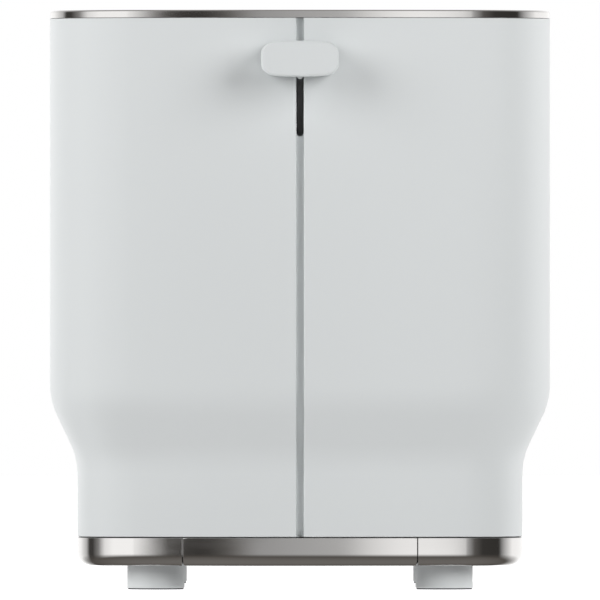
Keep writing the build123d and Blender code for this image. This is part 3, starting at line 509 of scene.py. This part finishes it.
def cut(mesh, cutter):
    """The mesh with the cutter taken away, and the cutter removed."""
    target = bpy.data.objects.new("cut_target", mesh)
    bpy.context.scene.collection.objects.link(target)
    modifier = target.modifiers.new("cut", "BOOLEAN")
    modifier.operation, modifier.solver, modifier.object = "DIFFERENCE", "EXACT", cutter
    bpy.context.view_layer.update()
    evaluated = target.evaluated_get(bpy.context.evaluated_depsgraph_get())
    result = bpy.data.meshes.new_from_object(evaluated)
    bpy.data.objects.remove(target)
    bpy.data.objects.remove(cutter)
    return result


# ---- housing ------------------------------------------------------------------------------------------
BUTTON_NAMES = ("cancel", "reheat", "defrost", "less", "more")
BUTTON_R = 6.0 * MM
LIGHT_R, LIGHT_COUNT = 1.0 * MM, 5
GLAND_R, GLAND_BORE_R = 6.5 * MM, 3.6 * MM


def button_places():
    places = [node_middle(f"button_{name}") for name in BUTTON_NAMES]
    return [Vector((-HALF_W, p.y, p.z)) for p in places]


def light_places():
    lo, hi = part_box("browning_lights")
    heights = spread(lo.z + LIGHT_R, hi.z - LIGHT_R, LIGHT_COUNT - 1)
    return [Vector((-HALF_W, (lo.y + hi.y) / 2, z)) for z in heights]


def build_housing():
    verts, faces = half_shell()
    gland = node_middle("cord_gland")
    gland_hole = (0, MID_Y + HALF_L - WAIST, gland.z)
    for side, sign in (("right", 1), ("left", -1)):
        shell = raw_mesh(f"housing_{side}", verts if sign > 0 else mirrored(verts), faces)
        shell = cut(shell, hole_cutter([gland_hole], GLAND_R + 0.2 * MM, 0.3 * MM, "+Y", "gland"))
        if sign < 0:
            shell = cut(shell, hole_cutter(button_places(), BUTTON_R + 0.2 * MM, 0.35 * MM, "-X", "buttons"))
            shell = cut(shell, hole_cutter(light_places(), LIGHT_R + 0.06 * MM, 0.12 * MM, "-X", "lights"))
        finish_piece(shell, f"housing_{side}", "housing_white", "housing", [f"{side}_shell"])


# ---- polished metal -----------------------------------------------------------------------------------
BAND_R = 4.6 * MM
BAND_LIP, TRAY_LIP = 9.0 * MM, 5.0 * MM
TRAY_GAP, TRAY_EDGE = 0.2 * MM, 0.15 * MM
WEB_T = 0.7 * MM
TRAY_SHELF_IN, TRAY_SHELF_LOW, TRAY_SHELF_TOP = 3.6 * MM, 12.9 * MM, 13.9 * MM


def band_profile(depth, reach):
    """The band from its top edge round the roll to its lip, on a line depth inside the skin."""
    top, low = BAND_HI.z, BAND_LO.z
    edge = 0.3 * MM
    centre = (WAIST + BAND_R, low + BAND_R)
    r = BAND_R - depth
    points = [(WAIST + depth + (e if depth == 0 else 0), top - d) for d, e in eased(edge)]
    points += [(WAIST + depth, z) for z in spread(top - edge, centre[1], 3)[1:-1]]
    points += [(centre[0] - r * cos(t), centre[1] - r * sin(t)) for t in spread(0, pi / 2, 18)]
    points += [(inset, low + depth) for inset in spread(centre[0], WAIST + reach, 2)[1:]]
    return points


def flat_ended(loop_of, station, x):
    """A loop whose every point is slid round the bow to the plane at x."""
    cx, cy, radius, _ = station
    points = []
    for inset, z in loop_of:
        r = radius - inset
        points.append((x, MID_Y + cy - sqrt(r * r - x * x), z))
    return points


def build_band():
    outer, inner = band_profile(0, BAND_LIP), band_profile(SHEET, BAND_LIP)
    right = half_stations()
    edge = asin(TRAY_HALF_W / (END_BOW_R - WAIST))
    past = [s for s in right if s[3] > edge + 0.01]
    ends = []
    for d, e in eased(TRAY_EDGE):
        skin = [(inset + e, z) for inset, z in outer]
        ends.append(flat_ended(skin + list(reversed(inner)), right[0], TRAY_HALF_W + d))
    half = ends + [section_loop(s, outer, inner) for s in past]
    other = [mirrored(loop) for loop in reversed(half)]
    verts, faces = loft(half + other[1:], caps=True)
    add_piece("base_band_steel", verts, faces, "polished_steel", "housing", ["base_band"])


def block(lo, hi, edge=0.15 * MM):
    """Vertices and faces of a block with its upright and level edges chamfered."""
    bm = bmesh.new()
    bmesh.ops.create_cube(bm, size=1.0)
    for v in bm.verts:
        v.co = Vector([lo[i] if v.co[i] < 0 else hi[i] for i in range(3)])
    bmesh.ops.bevel(bm, geom=list(bm.edges), offset=edge, segments=2, profile=0.5, affect="EDGES")
    verts = [tuple(v.co) for v in bm.verts]
    faces = [tuple(v.index for v in f.verts) for f in bm.faces]
    bm.free()
    return verts, faces


def build_tray_front():
    """The crumb tray's front: the missing piece of the band, with its web and shelf."""
    outer, inner = band_profile(0, TRAY_LIP), band_profile(SHEET, TRAY_LIP)
    half_angle = asin((TRAY_HALF_W - TRAY_GAP) / (END_BOW_R - WAIST))
    centre = arc_stations(0, -BOW_Y, END_BOW_R, -half_angle, half_angle, 40)
    loops = [section_loop(turned(centre[0], d), outer, inner, e) for d, e in eased(TRAY_EDGE)]
    loops += [section_loop(s, outer, inner) for s in centre[1:-1]]
    loops += [section_loop(turned(centre[-1], -d), outer, inner, e) for d, e in reversed(eased(TRAY_EDGE))]
    tray_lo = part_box("crumb_tray")[0]
    half = TRAY_HALF_W - 1.0 * MM
    web_front = tray_lo.y - WEB_T
    web = block((-half, web_front, tray_lo.z), (half, tray_lo.y, BAND_HI.z - 0.4 * MM))
    shelf_y = MID_Y - HALF_L + WAIST + TRAY_SHELF_IN
    shelf = block((-half, shelf_y, TRAY_SHELF_LOW), (half, web_front, TRAY_SHELF_TOP))
    verts, faces = joined(loft(loops, caps=True), web, shelf)
    add_piece("crumb_tray_front_steel", verts, faces, "polished_steel", "tray", ["crumb_tray_front"])


SLOT_X = 31.0 * MM
SLOT_W, SLOT_L, SLOT_R = 36.0 * MM, 146.0 * MM, 6.0 * MM


def slot_loop(cx, offset, z, n=10):
    """A rounded slot's outline, grown by offset."""
    r = SLOT_R + offset
    hx, hy = SLOT_W / 2 - SLOT_R, SLOT_L / 2 - SLOT_R
    points = []
    for sx, sy, start in ((1, 1, 0), (-1, 1, pi / 2), (-1, -1, pi), (1, -1, 1.5 * pi)):
        for t in spread(start, start + pi / 2, n):
            points.append((cx + sx * hx + r * cos(t), MID_Y + sy * hy + r * sin(t), z))
    return points


def plate_between(outer_loop, holes):
    """Triangles that fill a flat outline with holes."""
    bm = bmesh.new()
    for loop in [outer_loop, *holes]:
        ring = [bm.verts.new(p) for p in loop]
        for a, b in zip(ring, ring[1:] + ring[:1]):
            bm.edges.new((a, b))
    bmesh.ops.triangle_fill(bm, edges=list(bm.edges), use_beauty=True, normal=(0, 0, 1))
    bm.verts.index_update()
    verts = [tuple(v.co) for v in bm.verts]
    faces = [tuple(v.index for v in f.verts) for f in bm.faces]
    bm.free()
    return verts, faces


def build_cover():
    """Pressed top: rolled outer edge, flat face, two slots with rolled, turned-down rims."""
    top, low, under = COVER_HI.z, COVER_LOW, COVER_HI.z - SHEET
    roll, edge, rim = 1.1 * MM, 0.1 * MM, 0.9 * MM
    flange_low = COVER_LO.z
    profile = [(WALL, under), (WALL, low)] + [(e, low + d) for d, e in eased(edge)]
    profile += [(0, (low + top) / 2)]
    profile += [(roll - roll * cos(t), top - roll + roll * sin(t)) for t in spread(0, pi / 2, 12)]
    run = full_stations()
    ring = loft([[on_outline(s, inset, z) for inset, z in profile] for s in run], False, True)
    rims, top_holes, under_holes = [], [], []
    for cx in (-SLOT_X, SLOT_X):
        steps = [(rim * (1 - sin(t)), top - rim * (1 - cos(t))) for t in spread(0, pi / 2, 6)]
        steps += [(0, z) for z in spread(top - rim, flange_low + edge, 3)[1:]]
        steps += [(SHEET, flange_low + edge), (SHEET, under)]
        rims.append(loft(list(zip(*[slot_loop(cx, offset, z) for offset, z in steps])), False, True))
        top_holes.append(slot_loop(cx, rim, top))
        under_holes.append(slot_loop(cx, SHEET, under))
    face = plate_between([on_outline(s, roll, top) for s in run], top_holes)
    back = plate_between([on_outline(s, WALL, under) for s in run], under_holes)
    verts, faces = joined(ring, *rims, face, back)
    add_piece("top_cover_steel", verts, faces, "polished_steel", "housing", ["top_cover"])


# ---- lever knob ---------------------------------------------------------------------------------------
def knob_outline(inset, n=10):
    """Soft-cornered rectangle with slightly bowed sides, in X and Z about its middle."""
    lo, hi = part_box("lever_knob")
    w, h = (hi.x - lo.x) / 2 - inset, (hi.z - lo.z) / 2 - inset
    r = 3.7 * MM - inset
    bow_w, bow_h = 0.35 * MM, 0.8 * MM
    points = []
    for sx, sz, start in ((1, 1, 0), (-1, 1, pi / 2), (-1, -1, pi), (1, -1, 1.5 * pi)):
        for t in spread(start, start + pi / 2, n):
            points.append((sx * (w - r) + r * cos(t), sz * (h - r) + r * sin(t)))
        if sx * sz > 0:
            xs = spread(sx * (w - r), -sx * (w - r), 14)[1:-1]
            points += [(x, sz * h) for x in xs]
        else:
            zs = spread(sz * (h - r), -sz * (h - r), 6)[1:-1]
            points += [(sx * w, z) for z in zs]
    bowed = []
    for x, z in points:
        fall_h, fall_w = bow_h * (x / w) ** 2, bow_w * (z / h) ** 2
        bowed.append((x * (1 - fall_w / w), z * (1 - fall_h / h)))
    return bowed


def build_knob():
    lo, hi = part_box("lever_knob")
    mid = (lo + hi) / 2
    front_r, back_r, crown = 1.0 * MM, 0.7 * MM, 0.25 * MM

    def ring(inset, y):
        return [(mid.x + x, y, mid.z + z) for x, z in knob_outline(inset)]

    loops = [ring(e, hi.y - d) for d, e in eased(back_r)]
    loops += [ring(0, y) for y in spread(hi.y - back_r, lo.y + crown + front_r, 6)[1:-1]]
    loops += [ring(e, lo.y + crown + d) for d, e in reversed(eased(front_r, 7))]
    face = loops[-1]
    for share in (0.9, 0.75, 0.55, 0.3, 0.1):
        y = lo.y + crown * share**2
        loops.append([(mid.x + (p[0] - mid.x) * share, y, mid.z + (p[2] - mid.z) * share) for p in face])
    verts, faces = loft(loops)
    n = len(loops[0])
    faces.append(tuple(range(n)))
    faces.append(tuple(range(len(verts) - n, len(verts))))
    add_piece("lever_knob_cap", verts, faces, "lever_white", "lever", ["lever_knob"], sharp=60)


# ---- return springs -----------------------------------------------------------------------------------
SPRING_TURNS, SPRING_WIRE_R = 8, 0.45 * MM


def helix_tube(centre, radius, wire_r, low, high, turns, per_turn=36, sides=10):
    """A closed coil of round wire with its two end turns wound flat, as on a ground spring."""
    count = turns * per_turn
    flat = 0.75 * per_turn
    rises = [min(1.0, max(0.0, min(i, count - i) / flat - 0.4)) for i in range(count)]
    total, heights, run = sum(rises), [], 0.0
    for i in range(count + 1):
        heights.append(low + (high - low) * run / total)
        run += rises[i] if i < count else 0.0
    loops = []
    for i, z in enumerate(heights):
        a = 2 * pi * i / per_turn
        ring = []
        for t in spread(0, 2 * pi, sides)[:-1]:
            r = radius + wire_r * cos(t)
            ring.append((centre[0] + r * cos(a), centre[1] + r * sin(a), z + wire_r * sin(t)))
        loops.append(ring)
    verts, faces = loft(loops)
    return verts, faces + [tuple(range(sides)), tuple(range(len(verts) - sides, len(verts)))]


def build_springs():
    """Return springs as closed coils of round wire, riding on the housing."""
    for side in ("left", "right"):
        lo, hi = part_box(f"return_spring_{side}")
        mid, radius = (lo + hi) / 2, (hi.x - lo.x) / 2 - SPRING_WIRE_R
        low, high = lo.z + SPRING_WIRE_R, hi.z - SPRING_WIRE_R
        verts, faces = helix_tube(mid, radius, SPRING_WIRE_R, low, high, SPRING_TURNS)
        name = f"return_spring_{side}_coil"
        coil = add_piece(name, verts, faces, "spring_steel", "housing", [f"return_spring_{side}"])
        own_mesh(coil)


# ---- feet, gland, buttons -----------------------------------------------------------------------------
def build_feet():
    """Turned feet, with a recess for the pad below and a bore for the screw above it."""
    edge, bevel, bore_r = 0.45 * MM, 0.5 * MM, 3 * MM
    for place in ("front_left", "front_right", "rear_left", "rear_right"):
        lo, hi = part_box(f"foot_{place}")
        mid, radius = (lo + hi) / 2, (hi.x - lo.x) / 2
        pad_r, pad_low, pad_top = radius - 0.5 * MM, lo.z + 0.9 * MM, lo.z + 1.5 * MM
        profile = [(pad_r, pad_low)]
        profile += [(radius - e, lo.z + d) for d, e in eased(edge)]
        profile += [(radius, z) for z in spread(lo.z + edge, hi.z - bevel, 3)[1:]]
        profile += [(radius - bevel, hi.z), (bore_r, hi.z), (bore_r, lo.z + 4.4 * MM), (bore_r, pad_top)]
        profile += [(pad_r, pad_top), (pad_r, pad_low)]
        verts, faces = lathe(profile, 96)
        verts = put(verts, (mid.x, mid.y, 0))
        add_piece(f"foot_{place}_body", verts, faces, "foot_grey", "housing", [f"foot_{place}"])


def build_gland():
    """Cord gland: a sleeve with a collar inside the wall and a grooved boot outside it."""
    lo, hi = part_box("cord_gland")
    mid, length, collar_r = (lo + hi) / 2, hi.y - lo.y, (hi.x - lo.x) / 2
    inside = MID_Y + HALF_L - WAIST - lo.y
    collar, collar_half = inside - 5.4 * MM, 1.3 * MM
    groove_r, first, last, count = GLAND_R - 0.8 * MM, inside + 2.0 * MM, length - 1.6 * MM, 4
    pitch = (last - first) / count
    profile = [(GLAND_BORE_R, 0), (GLAND_R, 0), (GLAND_R, collar - collar_half)]
    profile += [(collar_r, collar - collar_half), (collar_r, collar + collar_half)]
    profile += [(GLAND_R, collar + collar_half)]
    for i in range(count):
        at = first + i * pitch
        profile += [(GLAND_R, at), (GLAND_R, at + pitch * 0.45)]
        profile += [(groove_r, at + pitch * 0.55), (groove_r, at + pitch * 0.9)]
    profile += [(GLAND_R, last)]
    profile += [(GLAND_R - e, length - d) for d, e in reversed(eased(1.0 * MM))]
    profile += [(GLAND_BORE_R + e, length - d) for d, e in eased(0.6 * MM)]
    profile += [(GLAND_BORE_R, 0)]
    verts, faces = lathe(profile, 96)
    verts = put(verts, (mid.x, lo.y, mid.z), "+Y")
    add_piece("cord_gland_boot", verts, faces, "base_black", "housing", ["cord_gland"])


LINE, SIGN_L, PRINT_DEPTH = 0.62 * MM, 4.4 * MM, 0.12 * MM


def bar(length, width, angle, at=(0.0, 0.0), depth=PRINT_DEPTH, n=6):
    """A round-ended printed bar lying in XY, its top at z = 0."""
    outline = []
    for sign, start in ((1, -pi / 2), (-1, pi / 2)):
        for t in spread(start, start + pi, n):
            outline.append((sign * (length - width) / 2 + width / 2 * cos(t), width / 2 * sin(t)))
    across, up = cos(angle), sin(angle)
    return extruded([(at[0] + x * across - y * up, at[1] + x * up + y * across) for x, y in outline], depth)


def extruded(outline, depth):
    """A flat outline in XY given that depth below z = 0."""
    n = len(outline)
    verts = [(x, y, 0) for x, y in outline] + [(x, y, -depth) for x, y in outline]
    faces = [tuple(range(n)), tuple(range(n, 2 * n))]
    faces += [(k, (k + 1) % n, n + (k + 1) % n, n + k) for k in range(n)]
    return verts, faces


def open_ring(radius, width, gap, n=30):
    """A printed ring with a gap at its top."""
    start, stop = pi / 2 + gap / 2, 2.5 * pi - gap / 2
    outer, inner = radius + width / 2, radius - width / 2
    outline = [(outer * cos(t), outer * sin(t)) for t in spread(start, stop, n)]
    outline += [(inner * cos(t), inner * sin(t)) for t in spread(stop, start, n)]
    verts = [(x, y, 0) for x, y in outline] + [(x, y, -PRINT_DEPTH) for x, y in outline]
    total = len(outline)
    faces = [(k, k + 1, total - 2 - k, total - 1 - k) for k in range(total // 2 - 1)]
    faces += [tuple(total + i for i in face) for face in faces]
    faces += [(k, (k + 1) % total, total + (k + 1) % total, total + k) for k in range(total)]
    return verts, faces


def star():
    """Three crossing bars, each as deep as no other, so that no two lie face to face."""
    angles = (pi / 2, pi / 6, -pi / 6)
    return joined(*[bar(5.0 * MM, LINE * 0.8, a, depth=(0.1 + 0.01 * a) * MM) for a in angles])


def crossed(first, second):
    """Two bars at those angles, one a little less deep, so that their undersides don't share a plane."""
    return joined(bar(SIGN_L, LINE, first), bar(SIGN_L, LINE, second, depth=0.11 * MM))


SYMBOLS = {
    "less": lambda: bar(SIGN_L, LINE, 0),
    "more": lambda: crossed(0, pi / 2),
    "cancel": lambda: crossed(pi / 4, -pi / 4),
    "defrost": star,
    "reheat": lambda: joined(open_ring(2.0 * MM, LINE, 1.1), bar(2.0 * MM, LINE, pi / 2, (0, 2.0 * MM))),
}


def build_buttons():
    """Dished caps with a printed sign each; they ride on their own keys."""
    height, dish, edge = 5.0 * MM, 0.3 * MM, 0.5 * MM
    stem_r, collar_r, proud = 2.0 * MM, BUTTON_R + 1.0 * MM, 0.03 * MM
    bowl = BUTTON_R - edge - 0.2 * MM
    profile = [(0, -2.0 * MM), (stem_r, -2.0 * MM), (stem_r, 0), (BUTTON_R, 0), (BUTTON_R, 1.7 * MM)]
    profile += [(collar_r, 1.75 * MM), (collar_r, 2.65 * MM), (BUTTON_R, 2.7 * MM)]
    profile += [(BUTTON_R - e, height - d) for d, e in reversed(eased(edge, 6))]
    profile += [(r, height - dish * (1 - (r / bowl) ** 2)) for r in spread(bowl, 0, 8)]
    cap, faces = lathe(profile, 72)
    for name in BUTTON_NAMES:
        lo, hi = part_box(f"button_{name}")
        mid, body = (lo + hi) / 2, f"{name}_key"
        verts = put(cap, (lo.x + height, mid.y, mid.z), "-X")
        add_piece(f"button_{name}_cap", verts, faces, "button_grey", body, [f"button_{name}"], sharp=45)
        sign, sign_faces = SYMBOLS[name]()
        sunk = [(x, y, z - dish * (1 - min(1.0, (x * x + y * y) / bowl**2)) + proud) for x, y, z in sign]
        upright = [(lo.x - z, mid.y - x, mid.z + y) for x, y, z in sunk]
        add_piece(f"button_{name}_sign", upright, sign_faces, "button_grey", body, look=PRINT_GREY)


# ---- set ----------------------------------------------------------------------------------------------
# Brightness round the studio at eye level, by heading in degrees from the lever end's side towards +X.
STUDIO = [
    (-180, 0.8), (-165, 1.15), (-144, 1.1), (-121, 0.55), (-113, 0.05), (-103, 0.05), (-89, 0.25),
    (-76, 0.9), (-60, 1.1), (-26, 1.1), (-22, 0.93), (-20.4, 0.47), (-19.3, 0.15), (-17.6, 0.045),
    (-13, 0.04), (-10, 0.1), (-8, 0.217), (-6, 0.36), (-3.4, 0.386), (-0.4, 0.427), (2.7, 0.457),
    (6.1, 0.496), (7.7, 0.637), (9.5, 0.78), (13, 0.96), (16, 1.02), (21, 0.94), (26, 0.415), (38, 0.1),
    (52, 0.04), (84, 0.035), (94, 0.4), (117, 1.07), (132, 1.1), (165, 1.15), (180, 0.8),
]
WARMTH = 0.07


def build_world():
    """White behind everything; reflections see a studio of soft boxes; shading gets a soft even sky."""
    world = bpy.data.worlds.new("studio")
    bpy.context.scene.world = world
    world.use_nodes = True
    nodes, links = world.node_tree.nodes, world.node_tree.links
    nodes.clear()

    def math(operation, *values):
        node = nodes.new("ShaderNodeMath")
        node.operation = operation
        for socket, value in zip(node.inputs, values):
            if isinstance(value, (int, float)):
                socket.default_value = value
            else:
                links.new(value, socket)
        return node.outputs[0]

    def ramp(value, stops):
        """Evenly mixed brightness stops, as (place from 0 to 1, brightness, warmth)."""
        node = nodes.new("ShaderNodeValToRGB")
        elements = node.color_ramp.elements
        while len(elements) < len(stops):
            elements.new(1.0)
        for element, (place, level, warm) in zip(elements, stops):
            element.position = place
            element.color = (level * (1 + warm), level, level * (1 - warm), 1)
        links.new(value, node.inputs[0])
        return node.outputs[0]

    def mixed(factor, a, b):
        node = nodes.new("ShaderNodeMix")
        node.data_type = "RGBA"
        for socket, value in (("Factor", factor), ("A", a), ("B", b)):
            if isinstance(value, tuple):
                node.inputs[socket].default_value = value
            else:
                links.new(value, node.inputs[socket])
        return node.outputs["Result"]

    coords = nodes.new("ShaderNodeTexCoord")
    split = nodes.new("ShaderNodeSeparateXYZ")
    links.new(coords.outputs["Generated"], split.inputs[0])
    x, y, z = split.outputs
    heading = math("DIVIDE", math("ARCTAN2", x, math("SUBTRACT", 1.0, y)), pi)
    heading = math("ADD", heading, 0.5)
    half = len(STUDIO) // 2

    def stops(part):
        return [((deg + 180) / 360, level, WARMTH * max(0.0, 1 - level * 3)) for deg, level in part]

    left, right = ramp(heading, stops(STUDIO[: half + 1])), ramp(heading, stops(STUDIO[half:]))
    pick = math("GREATER_THAN", heading, (STUDIO[half][0] + 180) / 360)
    level = mixed(pick, left, right)
    overhead = ramp(math("ADD", math("MULTIPLY", y, 0.5), 0.5), [
        (0.0, 0.95, 0), (0.25, 0.7, 0), (0.42, 0.32, 0.01), (0.53, 0.17, 0.03), (0.66, 0.24, 0.02),
        (0.84, 0.5, 0), (1.0, 0.9, 0)])
    lift = math("ADD", math("MULTIPLY", z, 0.8), math("MULTIPLY", y, 0.5))
    up = ramp(lift, [(0.5, 0, 0), (0.85, 1, 0)])
    down = ramp(math("MULTIPLY", z, -1.0), [(0.22, 0, 0), (0.6, 1, 0)])
    below = ramp(math("MULTIPLY", z, -1.0), [(0.5, 0.075, 0.1), (1.0, 0.16, 0.06)])
    reflected = mixed(down, mixed(up, level, overhead), below)
    sky = ramp(math("ADD", math("MULTIPLY", z, 0.5), 0.5), [
        (0.0, 1.2, 0), (0.15, 1.0, 0), (0.3, 0.36, 0), (0.45, 0.1, 0), (1.0, 0.03, 0)])

    path = nodes.new("ShaderNodeLightPath")
    seen = mixed(path.outputs["Is Camera Ray"], sky, (1.0, 1.0, 1.0, 1))
    shiny = math("MAXIMUM", path.outputs["Is Glossy Ray"], path.outputs["Is Transmission Ray"])
    final = mixed(shiny, seen, reflected)
    background = nodes.new("ShaderNodeBackground")
    output = nodes.new("ShaderNodeOutputWorld")
    links.new(final, background.inputs["Color"])
    links.new(background.outputs[0], output.inputs["Surface"])


def soft_box(name, direction, distance, size, power):
    """A square soft light that looks at the lever end's middle."""
    aim = Vector((0, MID_Y, 0.11))
    light = bpy.data.lights.new(name, "AREA")
    light.shape, light.size, light.energy = "SQUARE", size, power
    lamp = bpy.data.objects.new(name, light)
    lamp.location = aim + Vector(direction).normalized() * distance
    lamp.rotation_mode = "QUATERNION"
    lamp.rotation_quaternion = (lamp.location - aim).to_track_quat("Z", "Y")
    lamp.visible_glossy = lamp.visible_camera = False
    bpy.context.scene.collection.objects.link(lamp)


def build_lights():
    """Two keys in front, a side light at each flank, and fills behind and above."""
    soft_box("key_right", (1.0, -1.0, 0.55), 1.6, 0.85, 13.4)
    soft_box("key_left", (-1.1, -1.0, 0.6), 1.6, 0.85, 9.8)
    soft_box("side_left", (-1.0, 0.0, 0.1), 1.6, 1.2, 12.0)
    soft_box("side_right", (1.0, 0.5, 0.1), 1.6, 1.2, 7.5)
    soft_box("rear_fill", (-0.2, 1.2, 0.8), 1.8, 1.2, 12.0)
    soft_box("overhead", (0.05, 0.3, 1.0), 1.6, 1.4, 3.6)


def build_floor():
    """A plain pale floor, bright enough to run into the white behind it."""
    s = Surface("floor_paper", (0.86, 0.86, 0.86), 0.9, Emission_Color=(1, 1, 1, 1), Emission_Strength=1.0)
    s.tint(s.noise(3, 2), (0.85, 0.85, 0.85))
    s.bump(s.noise(500, 2), 0.02 * MM)
    verts, faces = lathe([(0, 0), (1, 0), (6, 0)], 64)
    floor = bpy.data.objects.new("floor", raw_mesh("floor", verts, faces))
    floor.data.materials.append(s.material)
    floor.visible_glossy = floor.visible_diffuse = False
    bpy.context.scene.collection.objects.link(floor)


def build_camera():
    """A very long lens, square on to the lever end at half height."""
    frame_width, eye_z = 0.2056, 0.0995
    half_angle = radians(0.62)
    camera = bpy.data.cameras.new("camera")
    camera.sensor_width = 36
    camera.lens = camera.sensor_width / 2 / tan(half_angle)
    camera.clip_start, camera.clip_end = 0.5, 60
    eye = bpy.data.objects.new("camera", camera)
    distance = frame_width / 2 / tan(half_angle)
    eye.location = (0, MID_Y - HALF_L - distance, eye_z)
    eye.rotation_euler = (pi / 2, 0, 0)
    bpy.context.scene.collection.objects.link(eye)
    bpy.context.scene.camera = eye
    bpy.context.scene.view_settings.view_transform = "Standard"


dress_frame()
build_housing()
build_band()
build_tray_front()
build_cover()
build_knob()
build_springs()
build_feet()
build_gland()
build_buttons()
build_world()
build_lights()
build_floor()
build_camera()
